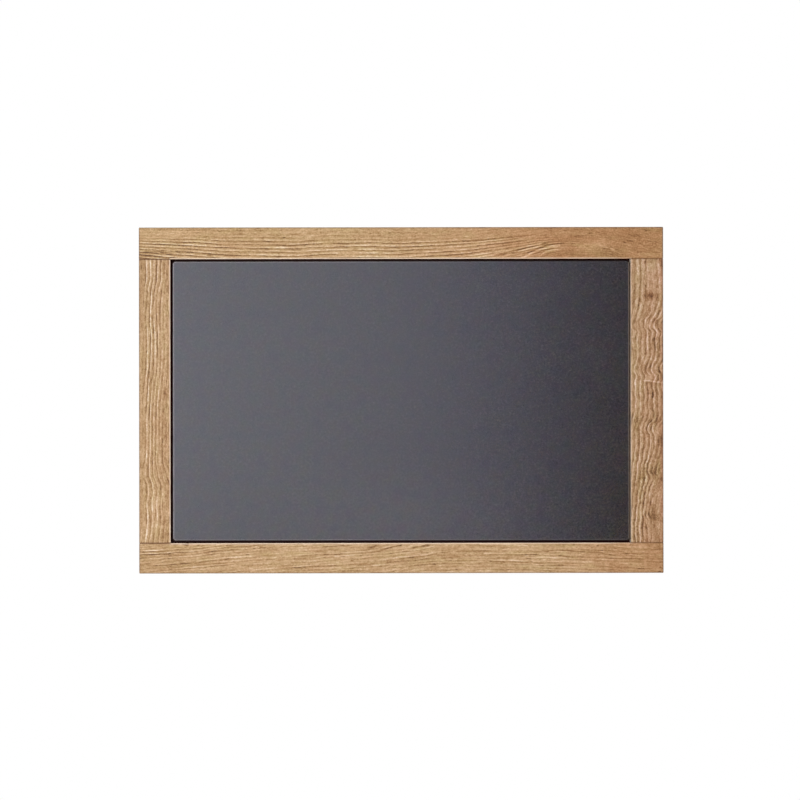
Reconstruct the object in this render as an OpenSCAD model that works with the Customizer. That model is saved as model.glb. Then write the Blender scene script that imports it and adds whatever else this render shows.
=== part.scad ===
// Wall chalkboard: four-piece wood frame, coated steel writing sheet on a core,
// plywood back board held by turn buttons, keyhole plates for two wall screws.
// X runs to the right seen from the front, Z up, the front faces -Y.
// The origin is midway between the two keyhole entry holes, on the back plane of the frame.

/* [Overall] */
// Outer width of the frame
board_w = 600; // [580:1:900]
// Outer height of the frame
board_h = 396; // [300:1:600]
// Thickness of the frame members
frame_t = 18; // [17:0.5:24]

/* [Frame] */
// Width of the top rail
top_rail_h = 36.4; // [36:0.1:46]
// Width of the bottom rail
bottom_rail_h = 34.8; // [34.5:0.1:46]
// Width of the left stile
left_stile_w = 36.1; // [36:0.1:46]
// Width of the right stile
right_stile_w = 37.2; // [36:0.1:46]
// Width of the rebate behind the opening
rebate_w = 8; // [7:0.5:9]
// Corner radius of the routed rebate
rebate_r = 4; // [3:0.5:6]

/* [Corner joints] */
// Dowel diameter
dowel_d = 8; // [6:0.5:8]
// Dowel length
dowel_len = 36; // [28:1:40]
// Distance between the two dowels of a joint
dowel_pitch = 18; // [14:0.5:20]

/* [Writing panel] */
// Gap between the frame and the left edge of the panel
gap_left = 2; // [1:0.1:3]
// Gap between the frame and the right edge of the panel
gap_right = 1.5; // [1:0.1:3]
// Gap between the frame and the top edge of the panel
gap_top = 1.9; // [1:0.1:3]
// Gap between the frame and the bottom edge of the panel
gap_bottom = 2.1; // [1:0.1:3]
// How far the panel sits behind the face of the frame
recess = 1.2; // [0.5:0.1:2.5]
// Thickness of the coated steel sheet
sheet_t = 0.8; // [0.5:0.1:1.2]
// Corner radius of the panel
panel_r = 4; // [3:0.5:8]
// Radius of the bend along the panel's edge
edge_r = 1.5; // [1.3:0.1:2.5]
// Depth of the flange folded over the core
flange = 9; // [6:0.5:10]

/* [Back board] */
// Thickness of the plywood
back_t = 4; // [3:0.5:5]
// Clearance of the back board in its rebate
back_gap = 0.5; // [0.3:0.1:1]
// Inset of the core screws from the panel's edge
core_screw_inset = 28; // [22:1:40]

/* [Turn buttons] */
// Thickness of a turn button
button_t = 1.4; // [1:0.1:1.6]
// Reach of a turn button from its pivot
button_reach = 16.5; // [15:0.5:17]
// Radius round the pivot
button_r = 6; // [5:0.25:6]
// Radius at the tip
button_tip_r = 4.5; // [3.5:0.25:5]
// Pivot hole diameter
button_hole_d = 4; // [3.9:0.05:4.3]
// Distance of the two upper and two lower buttons from the middle
button_x = 120; // [80:1:150]

/* [Hanging] */
// Distance between the two wall screws
hang_span = 450; // [380:1:450]
// Diameter of the keyhole entry
key_d = 9; // [8:0.25:9.5]
// Width of the keyhole slot
slot_w = 4.6; // [4:0.1:5]
// Lift from the entry to the end of the slot
slot_lift = 7.5; // [7:0.25:8]
// Length of a hanger plate
plate_l = 46; // [44:0.5:50]
// Height of a hanger plate
plate_h = 18; // [17.5:0.5:19]
// Thickness of a hanger plate
plate_t = 2; // [1.9:0.1:2.5]
// Depth of the pocket for the wall screw's head, behind the plate
pocket = 6; // [5:0.5:8]

/* [Wall bumpers] */
// Bumper diameter
bumper_d = 12; // [10:0.5:14]
// Bumper thickness
bumper_t = 5; // [4.9:0.1:7]

/* [Hidden] */
$fn = 48;
// frame, seen from the front
z_top = 17;
z_bot = z_top - board_h;
x_l = -board_w / 2;
x_r = board_w / 2;
ox_l = x_l + left_stile_w;
ox_r = x_r - right_stile_w;
oz_t = z_top - top_rail_h;
oz_b = z_bot + bottom_rail_h;
o_mid = (oz_t + oz_b) / 2;
y_front = -frame_t;
// panel
px_l = ox_l + gap_left;
px_r = ox_r - gap_right;
pz_t = oz_t - gap_top;
pz_b = oz_b + gap_bottom;
p_w = px_r - px_l;
p_h = pz_t - pz_b;
p_cx = (px_l + px_r) / 2;
p_cz = (pz_t + pz_b) / 2;
y_sheet = y_front + recess;
y_core = y_sheet + sheet_t;
core_fit = 0.1;
// hardware
screw_r = 1.75;
pilot = 0.05;
button_lift = 0.25;
head_r = 3.5;
head_h = 2;
pivot_in = 18;
plate_screw_x = 15.5;
plate_up = 2.5;
dowel_y = -frame_t / 2 - 1;

// where things sit, as [x, z]
button_at = [[-button_x, z_top - pivot_in], [button_x, z_top - pivot_in],
             [-button_x, z_bot + pivot_in - 0.5], [button_x, z_bot + pivot_in - 0.5],
             [x_l + pivot_in, o_mid], [x_r - pivot_in, o_mid]];
// turn of each button about Y, from pointing straight down
button_turn = [0, 0, 180, 180, -90, 90];
hang_at = [[-hang_span / 2, 0], [hang_span / 2, 0]];
dowel_x = [x_l + left_stile_w / 2 - dowel_pitch / 2, x_l + left_stile_w / 2 + dowel_pitch / 2,
           x_r - right_stile_w / 2 - dowel_pitch / 2, x_r - right_stile_w / 2 + dowel_pitch / 2];
core_screw_at = [[px_l + core_screw_inset, pz_t - core_screw_inset], [p_cx, pz_t - core_screw_inset],
                 [px_r - core_screw_inset, pz_t - core_screw_inset], [px_l + core_screw_inset, p_cz],
                 [px_r - core_screw_inset, p_cz], [px_l + core_screw_inset, pz_b + core_screw_inset],
                 [p_cx, pz_b + core_screw_inset], [px_r - core_screw_inset, pz_b + core_screw_inset]];
bumper_at = [[x_l + pivot_in, z_top - pivot_in], [x_r - pivot_in, z_top - pivot_in],
             [x_l + pivot_in, z_bot + pivot_in], [x_r - pivot_in, z_bot + pivot_in]];

// a flat outline drawn in X and Z, as a slab from y0 to y1
module slab(y0, y1) {
    translate([0, y1, 0]) rotate([90, 0, 0]) linear_extrude(y1 - y0) children();
}

// a rectangle with round corners, from its left, right, bottom and top
module rrect(l, r, b, t, rad) {
    union() {
        translate([l + rad, b]) square([r - l - 2 * rad, t - b]);
        translate([l, b + rad]) square([r - l, t - b - 2 * rad]);
        for (x = [l + rad, r - rad], z = [b + rad, t - rad]) translate([x, z]) circle(rad);
    }
}

// a pin along Y from y0 back to y1
module pin_y(x, z, y0, y1, rad) {
    translate([x, y1, z]) rotate([90, 0, 0]) cylinder(r = rad, h = y1 - y0);
}

// the rebate that takes the back board
module rebate() {
    slab(-back_t, 1) rrect(ox_l - rebate_w, ox_r + rebate_w, oz_b - rebate_w, oz_t + rebate_w, rebate_r);
}

// holes in the frame for the dowels
module dowel_holes() {
    for (x = dowel_x, z = [oz_t, oz_b])
        translate([x, dowel_y, z]) cylinder(r = dowel_d / 2 + 0.05, h = dowel_len + 0.6, center = true);
}

// pilot holes under the turn buttons
module button_pilots() {
    for (p = button_at) pin_y(p[0], p[1], -12.5, 1, screw_r + pilot);
}

// mortise, head pocket and pilot holes for each hanger plate
module hanger_cuts() {
    for (p = hang_at) translate([p[0], 0, p[1]]) {
        slab(-plate_t, 1) plate_outline(0.15);
        slab(-plate_t - pocket, 0) union() {
            circle(key_d / 2 + 0.8);
            translate([0, slot_lift]) circle(key_d / 2 + 0.8);
            translate([-key_d / 2 - 0.8, 0]) square([key_d + 1.6, slot_lift]);
        }
        for (s = [-1, 1]) pin_y(s * plate_screw_x, plate_up, -14.5, 0, screw_r + pilot);
    }
}

module plate_outline(grow) {
    translate([0, plate_up])
        rrect(-plate_l / 2 - grow, plate_l / 2 + grow, -plate_h / 2 - grow, plate_h / 2 + grow, 4 + grow);
}

module member(l, r, b, t) {
    translate([l, y_front, b]) cube([r - l, frame_t, t - b]);
}

module top_rail() color("burlywood") difference() {
    member(x_l, x_r, oz_t, z_top);
    rebate();
    dowel_holes();
    button_pilots();
    hanger_cuts();
}

module bottom_rail() color("burlywood") difference() {
    member(x_l, x_r, z_bot, oz_b);
    rebate();
    dowel_holes();
    button_pilots();
}

module left_stile() color("tan") difference() {
    member(x_l, ox_l, oz_b, oz_t);
    rebate();
    dowel_holes();
    button_pilots();
}

module right_stile() color("tan") difference() {
    member(ox_r, x_r, oz_b, oz_t);
    rebate();
    dowel_holes();
    button_pilots();
}

// fluteless dowel with chamfered ends, along Z
module dowel() {
    r = dowel_d / 2;
    h = dowel_len / 2;
    rotate_extrude() polygon([[0, -h], [r - 1, -h], [r, -h + 1], [r, h - 1], [r - 1, h], [0, h]]);
}

module corner_dowels() color("wheat")
    for (x = dowel_x, z = [oz_t, oz_b]) translate([x, dowel_y, z]) dowel();

// one corner of the folded sheet, with the bend rolled round it
module sheet_corner(y1) {
    translate([0, y1, 0]) rotate([90, 0, 0]) rotate_extrude($fn = 32) {
        square([panel_r, y1 - y_sheet - edge_r]);
        square([panel_r - edge_r, y1 - y_sheet]);
        intersection() {
            translate([panel_r - edge_r, y1 - y_sheet - edge_r]) circle(edge_r, $fn = 32);
            translate([0, y1 - y_sheet - edge_r]) square([panel_r, edge_r]);
        }
    }
}

module chalkboard_sheet() color("dimgray") difference() {
    hull() for (x = [px_l + panel_r, px_r - panel_r], z = [pz_b + panel_r, pz_t - panel_r])
        translate([x, 0, z]) sheet_corner(y_sheet + flange);
    slab(y_core, 0)
        rrect(px_l + sheet_t, px_r - sheet_t, pz_b + sheet_t, pz_t - sheet_t, panel_r - sheet_t);
}

module board_core() color("peru") difference() {
    slab(y_core, -back_t)
        rrect(px_l + sheet_t + core_fit, px_r - sheet_t - core_fit,
              pz_b + sheet_t + core_fit, pz_t - sheet_t - core_fit, panel_r - sheet_t - core_fit);
    for (p = core_screw_at) pin_y(p[0], p[1], -12.5, 0, screw_r + pilot);
}

module back_board() color("navajowhite") difference() {
    slab(-back_t, 0)
        rrect(ox_l - rebate_w + back_gap, ox_r + rebate_w - back_gap,
              oz_b - rebate_w + back_gap, oz_t + rebate_w - back_gap, rebate_r - back_gap / 2);
    for (p = core_screw_at) {
        pin_y(p[0], p[1], -back_t - 1, 1, screw_r + pilot);
        translate([p[0], 0, p[1]]) rotate([90, 0, 0]) cylinder(r1 = head_r + 0.1, r2 = screw_r + pilot, h = 1.8);
    }
}

// cross recess cut in a screw head whose top is at y
module cross(y, d) {
    for (a = [0, 90]) translate([0, y - d / 2 + 0.5, 0]) rotate([0, a + 20, 0]) cube([0.8, d + 1, 3.6], center = true);
}

// countersunk screw pointing to -Y, its head's top at y = 0
module flat_screw(len) {
    difference() {
        rotate([90, 0, 0]) rotate_extrude() polygon([[0, 0.05], [head_r - 0.1, 0.05], [screw_r, 1.75],
            [screw_r, len - 3], [0, len]]);
        cross(-0.05, 1.2);
    }
}

// pan head screw pointing to -Y, the underside of its head at y = 0
module pan_screw(len) {
    difference() {
        rotate([90, 0, 0]) rotate_extrude() polygon([[0, -head_h], [2, -head_h], [2.7, -head_h + 0.25],
            [3.2, -head_h + 0.75], [head_r, -head_h + 1.4], [head_r, 0], [screw_r, 0], [screw_r, len - 3], [0, len]]);
        cross(head_h, 1.3);
    }
}

module core_screws() color("silver")
    for (p = core_screw_at) translate([p[0], 0, p[1]]) flat_screw(12);

// turn button outline, pointing down from its pivot
module button_outline() {
    run = button_reach - button_tip_r;
    side = 0.99;
    union() {
        circle(button_r);
        translate([0, -run]) circle(button_tip_r);
        polygon([[-button_tip_r * side, -run], [button_tip_r * side, -run],
            [button_r * side, 0], [-button_r * side, 0]]);
    }
}

module turn_button(i) {
    p = button_at[i];
    translate([p[0], 0, p[1]]) rotate([0, button_turn[i], 0]) difference() {
        slab(button_lift, button_lift + button_t) button_outline();
        pin_y(0, 0, -1, 4, button_hole_d / 2);
    }
}

module turn_button_top_left() color("gold") turn_button(0);
module turn_button_top_right() color("gold") turn_button(1);
module turn_button_bottom_left() color("gold") turn_button(2);
module turn_button_bottom_right() color("gold") turn_button(3);
module turn_button_left() color("gold") turn_button(4);
module turn_button_right() color("gold") turn_button(5);

module turn_button_screws() color("silver")
    for (p = button_at) translate([p[0], 2 * button_lift + button_t, p[1]]) pan_screw(14);

module hanger_plate(i) {
    translate([hang_at[i][0], 0, hang_at[i][1]]) difference() {
        slab(-plate_t, 0) plate_outline(0);
        pin_y(0, 0, -plate_t - 1, 1, key_d / 2);
        pin_y(0, slot_lift, -plate_t - 1, 1, slot_w / 2);
        translate([-slot_w / 2, -plate_t - 1, 0]) cube([slot_w, plate_t + 2, slot_lift]);
        for (s = [-1, 1]) translate([s * plate_screw_x, 0, plate_up]) {
            pin_y(0, 0, -plate_t - 1, 1, screw_r + pilot);
            rotate([90, 0, 0]) cylinder(r1 = head_r + 0.1, r2 = screw_r + pilot, h = 1.8);
        }
    }
}

module hanger_plate_left() color("lightsteelblue") hanger_plate(0);
module hanger_plate_right() color("lightsteelblue") hanger_plate(1);

module hanger_screws() color("silver")
    for (p = hang_at, s = [-1, 1]) translate([p[0] + s * plate_screw_x, 0, p[1] + plate_up]) flat_screw(14);

// rubber foot with a rounded rim and a flat face
module bumper() {
    r = bumper_d / 2;
    rotate([-90, 0, 0]) rotate_extrude() polygon([[0, 0], [r, 0], [r, bumper_t - 1.8], [r - 0.25, bumper_t - 0.9],
        [r - 0.9, bumper_t - 0.25], [r - 1.8, bumper_t], [0, bumper_t]]);
}

module wall_bumpers() color("black")
    for (p = bumper_at) translate([p[0], 0, p[1]]) bumper();

top_rail();
bottom_rail();
left_stile();
right_stile();
corner_dowels();
chalkboard_sheet();
board_core();
back_board();
core_screws();
turn_button_top_left();
turn_button_top_right();
turn_button_bottom_left();
turn_button_bottom_right();
turn_button_left();
turn_button_right();
turn_button_screws();
hanger_plate_left();
hanger_plate_right();
hanger_screws();
wall_bumpers();
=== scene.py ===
"""Wall chalkboard: looks. Metres, +X right, +Z up, the front faces -Y, the frame's back plane is at Y = 0."""

import math

import bmesh
import bpy
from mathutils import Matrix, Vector, noise


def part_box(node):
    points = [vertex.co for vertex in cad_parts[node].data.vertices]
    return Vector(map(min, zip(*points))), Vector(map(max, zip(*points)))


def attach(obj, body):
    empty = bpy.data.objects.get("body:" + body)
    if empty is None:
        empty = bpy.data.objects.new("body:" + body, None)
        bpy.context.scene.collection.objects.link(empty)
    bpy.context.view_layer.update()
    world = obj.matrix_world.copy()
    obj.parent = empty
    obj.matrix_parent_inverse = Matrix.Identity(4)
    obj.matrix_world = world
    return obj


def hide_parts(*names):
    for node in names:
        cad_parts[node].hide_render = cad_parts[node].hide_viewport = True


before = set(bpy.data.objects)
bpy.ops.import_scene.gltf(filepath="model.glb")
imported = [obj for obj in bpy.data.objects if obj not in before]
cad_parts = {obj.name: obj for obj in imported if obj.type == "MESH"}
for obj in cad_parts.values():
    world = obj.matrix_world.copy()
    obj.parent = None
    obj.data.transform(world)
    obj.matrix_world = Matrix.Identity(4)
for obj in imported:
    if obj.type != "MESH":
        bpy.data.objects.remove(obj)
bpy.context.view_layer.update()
scene = bpy.context.scene
MM = 0.001


# ---------------------------------------------------------------- small helpers
def lin(r, g, b):
    """An sRGB colour, 0 to 255, as linear light."""
    return tuple(c / 12.92 if c <= 0.04045 else ((c + 0.055) / 1.055) ** 2.4 for c in (r / 255, g / 255, b / 255))


def mm_box(node):
    lo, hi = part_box(node)
    return [1000 * c for c in lo], [1000 * c for c in hi]


def new_object(name, mesh):
    ob = bpy.data.objects.new(name, mesh)
    scene.collection.objects.link(ob)
    return ob


def from_lists(name, verts, faces):
    me = bpy.data.meshes.new(name)
    me.from_pydata([[c * MM for c in v] for v in verts], [], faces)
    me.validate()
    me.update()
    return new_object(name, me)


def smooth(ob, angle=40, weighted=True):
    """Smooth shading with sharp edges past an angle, and flat faces kept flat."""
    for p in ob.data.polygons:
        p.use_smooth = True
    ob.data.set_sharp_from_angle(angle=math.radians(angle))
    if weighted:
        m = ob.modifiers.new("flat_faces", "WEIGHTED_NORMAL")
        m.mode = "FACE_AREA"
        m.weight = 50
        m.keep_sharp = True


def set_material(ob, mat):
    ob.data.materials.clear()
    ob.data.materials.append(mat)


def cut(ob, cutters):
    """Takes the cutters out of ob for good."""
    for c in cutters:
        m = ob.modifiers.new("cut", "BOOLEAN")
        m.operation = "DIFFERENCE"
        m.solver = "EXACT"
        m.object = c
    bpy.context.view_layer.update()
    dg = bpy.context.evaluated_depsgraph_get()
    me = bpy.data.meshes.new_from_object(ob.evaluated_get(dg))
    ob.modifiers.clear()
    old = ob.data
    ob.data = me
    bpy.data.meshes.remove(old)
    for c in cutters:
        me = c.data
        bpy.data.objects.remove(c)
        if me.users == 0:
            bpy.data.meshes.remove(me)


# ---------------------------------------------------------------- material nodes
class Num:
    """A number in a node tree. Sums and products of these make Math nodes."""

    def __init__(self, nb, sock):
        self.nb, self.sock = nb, sock

    def __add__(self, o):
        return self.nb.math("ADD", self, o)

    __radd__ = __add__

    def __sub__(self, o):
        return self.nb.math("SUBTRACT", self, o)

    def __rsub__(self, o):
        return self.nb.math("SUBTRACT", o, self)

    def __mul__(self, o):
        return self.nb.math("MULTIPLY", self, o)

    __rmul__ = __mul__

    def __truediv__(self, o):
        return self.nb.math("DIVIDE", self, o)

    def __neg__(self):
        return self.nb.math("MULTIPLY", self, -1.0)


class Nodes:
    """Makes the nodes of one material, with object coordinates in millimetres."""

    def __init__(self, name):
        self.mat = bpy.data.materials.new(name)
        self.mat.use_nodes = True
        self.nt = self.mat.node_tree
        self.nt.nodes.clear()
        self.out = self.nt.nodes.new("ShaderNodeOutputMaterial")
        self.bsdf = self.nt.nodes.new("ShaderNodeBsdfPrincipled")
        self.nt.links.new(self.bsdf.outputs[0], self.out.inputs["Surface"])
        tc = self.nt.nodes.new("ShaderNodeTexCoord")
        scale = self.nt.nodes.new("ShaderNodeVectorMath")
        scale.operation = "SCALE"
        scale.inputs["Scale"].default_value = 1000.0
        self.nt.links.new(tc.outputs["Object"], scale.inputs[0])
        self.pos = scale.outputs[0]
        sep = self.nt.nodes.new("ShaderNodeSeparateXYZ")
        self.nt.links.new(self.pos, sep.inputs[0])
        self.x, self.y, self.z = (Num(self, sep.outputs[i]) for i in range(3))

    def put(self, sock, v):
        if isinstance(v, Num):
            self.nt.links.new(v.sock, sock)
        elif isinstance(v, bpy.types.NodeSocket):
            self.nt.links.new(v, sock)
        else:
            sock.default_value = v

    def math(self, op, a, b=None, c=None):
        n = self.nt.nodes.new("ShaderNodeMath")
        n.operation = op
        for i, v in enumerate((a, b, c)):
            if v is not None:
                self.put(n.inputs[i], v)
        return Num(self, n.outputs[0])

    def sin(self, a):
        return self.math("SINE", a)

    def exp(self, a):
        return self.math("EXPONENT", a)

    def abs(self, a):
        return self.math("ABSOLUTE", a)

    def sqrt(self, a):
        return self.math("SQRT", a)

    def frac(self, a):
        return self.math("FRACT", a)

    def floor(self, a):
        return self.math("FLOOR", a)

    def max(self, a, b):
        return self.math("MAXIMUM", a, b)

    def min(self, a, b):
        return self.math("MINIMUM", a, b)

    def pow(self, a, b):
        return self.math("POWER", a, b)

    def bell(self, a, centre, width):
        """1 at the centre, falling off on both sides."""
        d = (a - centre) / width
        return self.exp(-(d * d))

    def step(self, v, a, b, lo=0.0, hi=1.0):
        """Goes smoothly from lo at a to hi at b."""
        n = self.nt.nodes.new("ShaderNodeMapRange")
        n.interpolation_type = "SMOOTHSTEP"
        n.clamp = True
        for i, s in enumerate((v, a, b, lo, hi)):
            self.put(n.inputs[i], s)
        return Num(self, n.outputs[0])

    def lerp(self, v, a, b, lo, hi):
        n = self.nt.nodes.new("ShaderNodeMapRange")
        n.clamp = True
        for i, s in enumerate((v, a, b, lo, hi)):
            self.put(n.inputs[i], s)
        return Num(self, n.outputs[0])

    def vec(self, a, b, c):
        n = self.nt.nodes.new("ShaderNodeCombineXYZ")
        for i, v in enumerate((a, b, c)):
            self.put(n.inputs[i], v)
        return n.outputs[0]

    def noise(self, a, b, c, detail=2.0, rough=0.5, seed=0.0):
        """Smooth noise about 0, mostly from -1 to 1."""
        n = self.nt.nodes.new("ShaderNodeTexNoise")
        n.noise_dimensions = "3D"
        self.put(n.inputs["Vector"], self.vec(a + seed * 17.31, b + seed * 5.17, c + seed * 11.73))
        n.inputs["Scale"].default_value = 1.0
        n.inputs["Detail"].default_value = detail
        n.inputs["Roughness"].default_value = rough
        return (Num(self, n.outputs[0]) - 0.5) * 2.6

    def chance(self, a, seed=0.0):
        """A random number from 0 to 1 for each whole value of a."""
        n = self.nt.nodes.new("ShaderNodeTexWhiteNoise")
        n.noise_dimensions = "1D"
        self.put(n.inputs["W"], a + seed)
        return Num(self, n.outputs[0])

    def curve(self, v, points):
        """A line through given (place, height) points."""
        a, b = points[0][0], points[-1][0]
        lo, hi = min(p[1] for p in points), max(p[1] for p in points)
        n = self.nt.nodes.new("ShaderNodeFloatCurve")
        cm = n.mapping
        c = cm.curves[0]
        pts = [((p[0] - a) / (b - a), (p[1] - lo) / (hi - lo)) for p in points]
        while len(c.points) < len(pts):
            c.points.new(0.5, 0.5)
        for q, p in zip(c.points, pts):
            q.location = p
            q.handle_type = "AUTO_CLAMPED"
        cm.update()
        self.put(n.inputs["Value"], self.lerp(v, a, b, 0.0, 1.0))
        return Num(self, n.outputs[0]) * (hi - lo) + lo

    def ramp(self, v, stops, mode="LINEAR"):
        """Colours along a number from 0 to 1. Each stop is (place, linear colour)."""
        n = self.nt.nodes.new("ShaderNodeValToRGB")
        cr = n.color_ramp
        cr.interpolation = mode
        while len(cr.elements) < len(stops):
            cr.elements.new(0.5)
        for e, (p, c) in zip(cr.elements, stops):
            e.position = p
            e.color = (*c, 1.0)
        self.put(n.inputs[0], v)
        return n.outputs[0]

    def levels(self, v, stops):
        """Numbers along a number from 0 to 1."""
        return Num(self, self.ramp(v, [(p, (h, h, h)) for p, h in stops]))

    def mix(self, f, a, b, mode="MIX"):
        n = self.nt.nodes.new("ShaderNodeMix")
        n.data_type = "RGBA"
        n.blend_type = mode
        n.clamp_factor = True
        self.put(n.inputs[0], f)
        for s, v in ((n.inputs[6], a), (n.inputs[7], b)):
            self.put(s, (*v, 1.0) if isinstance(v, tuple) else v)
        return n.outputs[2]

    def bump(self, height, distance, strength=1.0, onto=None):
        n = self.nt.nodes.new("ShaderNodeBump")
        n.inputs["Strength"].default_value = strength
        n.inputs["Distance"].default_value = distance
        self.put(n.inputs["Height"], height)
        if onto is not None:
            self.put(n.inputs["Normal"], onto)
        return n.outputs[0]

    def surface(self, colour=None, rough=None, normal=None, metallic=0.0, specular=0.5):
        b = self.bsdf
        if colour is not None:
            self.put(b.inputs["Base Color"], (*colour, 1.0) if isinstance(colour, tuple) else colour)
        if rough is not None:
            self.put(b.inputs["Roughness"], rough)
        if normal is not None:
            self.put(b.inputs["Normal"], normal)
        b.inputs["Metallic"].default_value = metallic
        b.inputs["Specular IOR Level"].default_value = specular
        return self.mat


# ---------------------------------------------------------------- sizes from the frame
TOP, BOTTOM = mm_box("top_rail"), mm_box("bottom_rail")
LEFT, RIGHT = mm_box("left_stile"), mm_box("right_stile")
SHEET = mm_box("chalkboard_sheet")
BACK = mm_box("back_board")
Y_FRONT = TOP[0][1]
OX_L, OX_R = LEFT[1][0], RIGHT[0][0]
OZ_T, OZ_B = TOP[0][2], BOTTOM[1][2]
X0, X1, Z0, Z1 = TOP[0][0], TOP[1][0], BOTTOM[0][2], TOP[1][2]
CX = (TOP[0][0] + TOP[1][0]) / 2
CZ = (BOTTOM[0][2] + TOP[1][2]) / 2


# ---------------------------------------------------------------- wood of the frame
WOOD = [
    (0.00, lin(86, 56, 31)),
    (0.18, lin(124, 88, 50)),
    (0.36, lin(160, 123, 78)),
    (0.54, lin(187, 152, 110)),
    (0.72, lin(210, 177, 140)),
    (0.88, lin(228, 202, 172)),
    (1.00, lin(244, 226, 204)),
]


def face(nb):
    """1 on the front, 0 on the sides and the back."""
    return nb.step(nb.y, Y_FRONT + 3.0, Y_FRONT + 1.0)


def mark(nb, l, w, at, size, slope=0.0):
    """A soft spot in the wood, 1 in its middle. at and size are (along, across) in mm."""
    d1 = l - at[0]
    d2 = w - at[1]
    if slope:
        d2 = d2 - slope * d1
    d1, d2 = d1 / size[0], d2 / size[1]
    return nb.exp(-(d1 * d1 + d2 * d2))


def marks(nb, l, w, todo):
    total = None
    for amount, at, size, *slope in todo:
        m = amount * mark(nb, l, w, at, size, *slope)
        total = m if total is None else total + m
    return total


def vein(nb, l, w, points, width, seed, gap=0.35, shade=0.0):
    """A single line in the wood through given (along, across) points in mm, fading in places. 1 on the line.

    shade: strength of the opposite line that runs beside it.
    """
    d = (w - nb.curve(l, points)) / width
    fade = min(12.0, 0.35 * (points[-1][0] - points[0][0]))
    ends = nb.step(l, points[0][0], points[0][0] + fade) * nb.step(l, points[-1][0], points[-1][0] - fade)
    line = nb.exp(-(d * d))
    if shade:
        e = d - math.copysign(2.1, shade)
        line = line - abs(shade) * nb.exp(-(e * e))
    return line * ends * nb.step(nb.noise(l / 11, w / 30, w * 0, 2, 0.5, seed), -0.7, 0.3, gap, 1.0)


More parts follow.
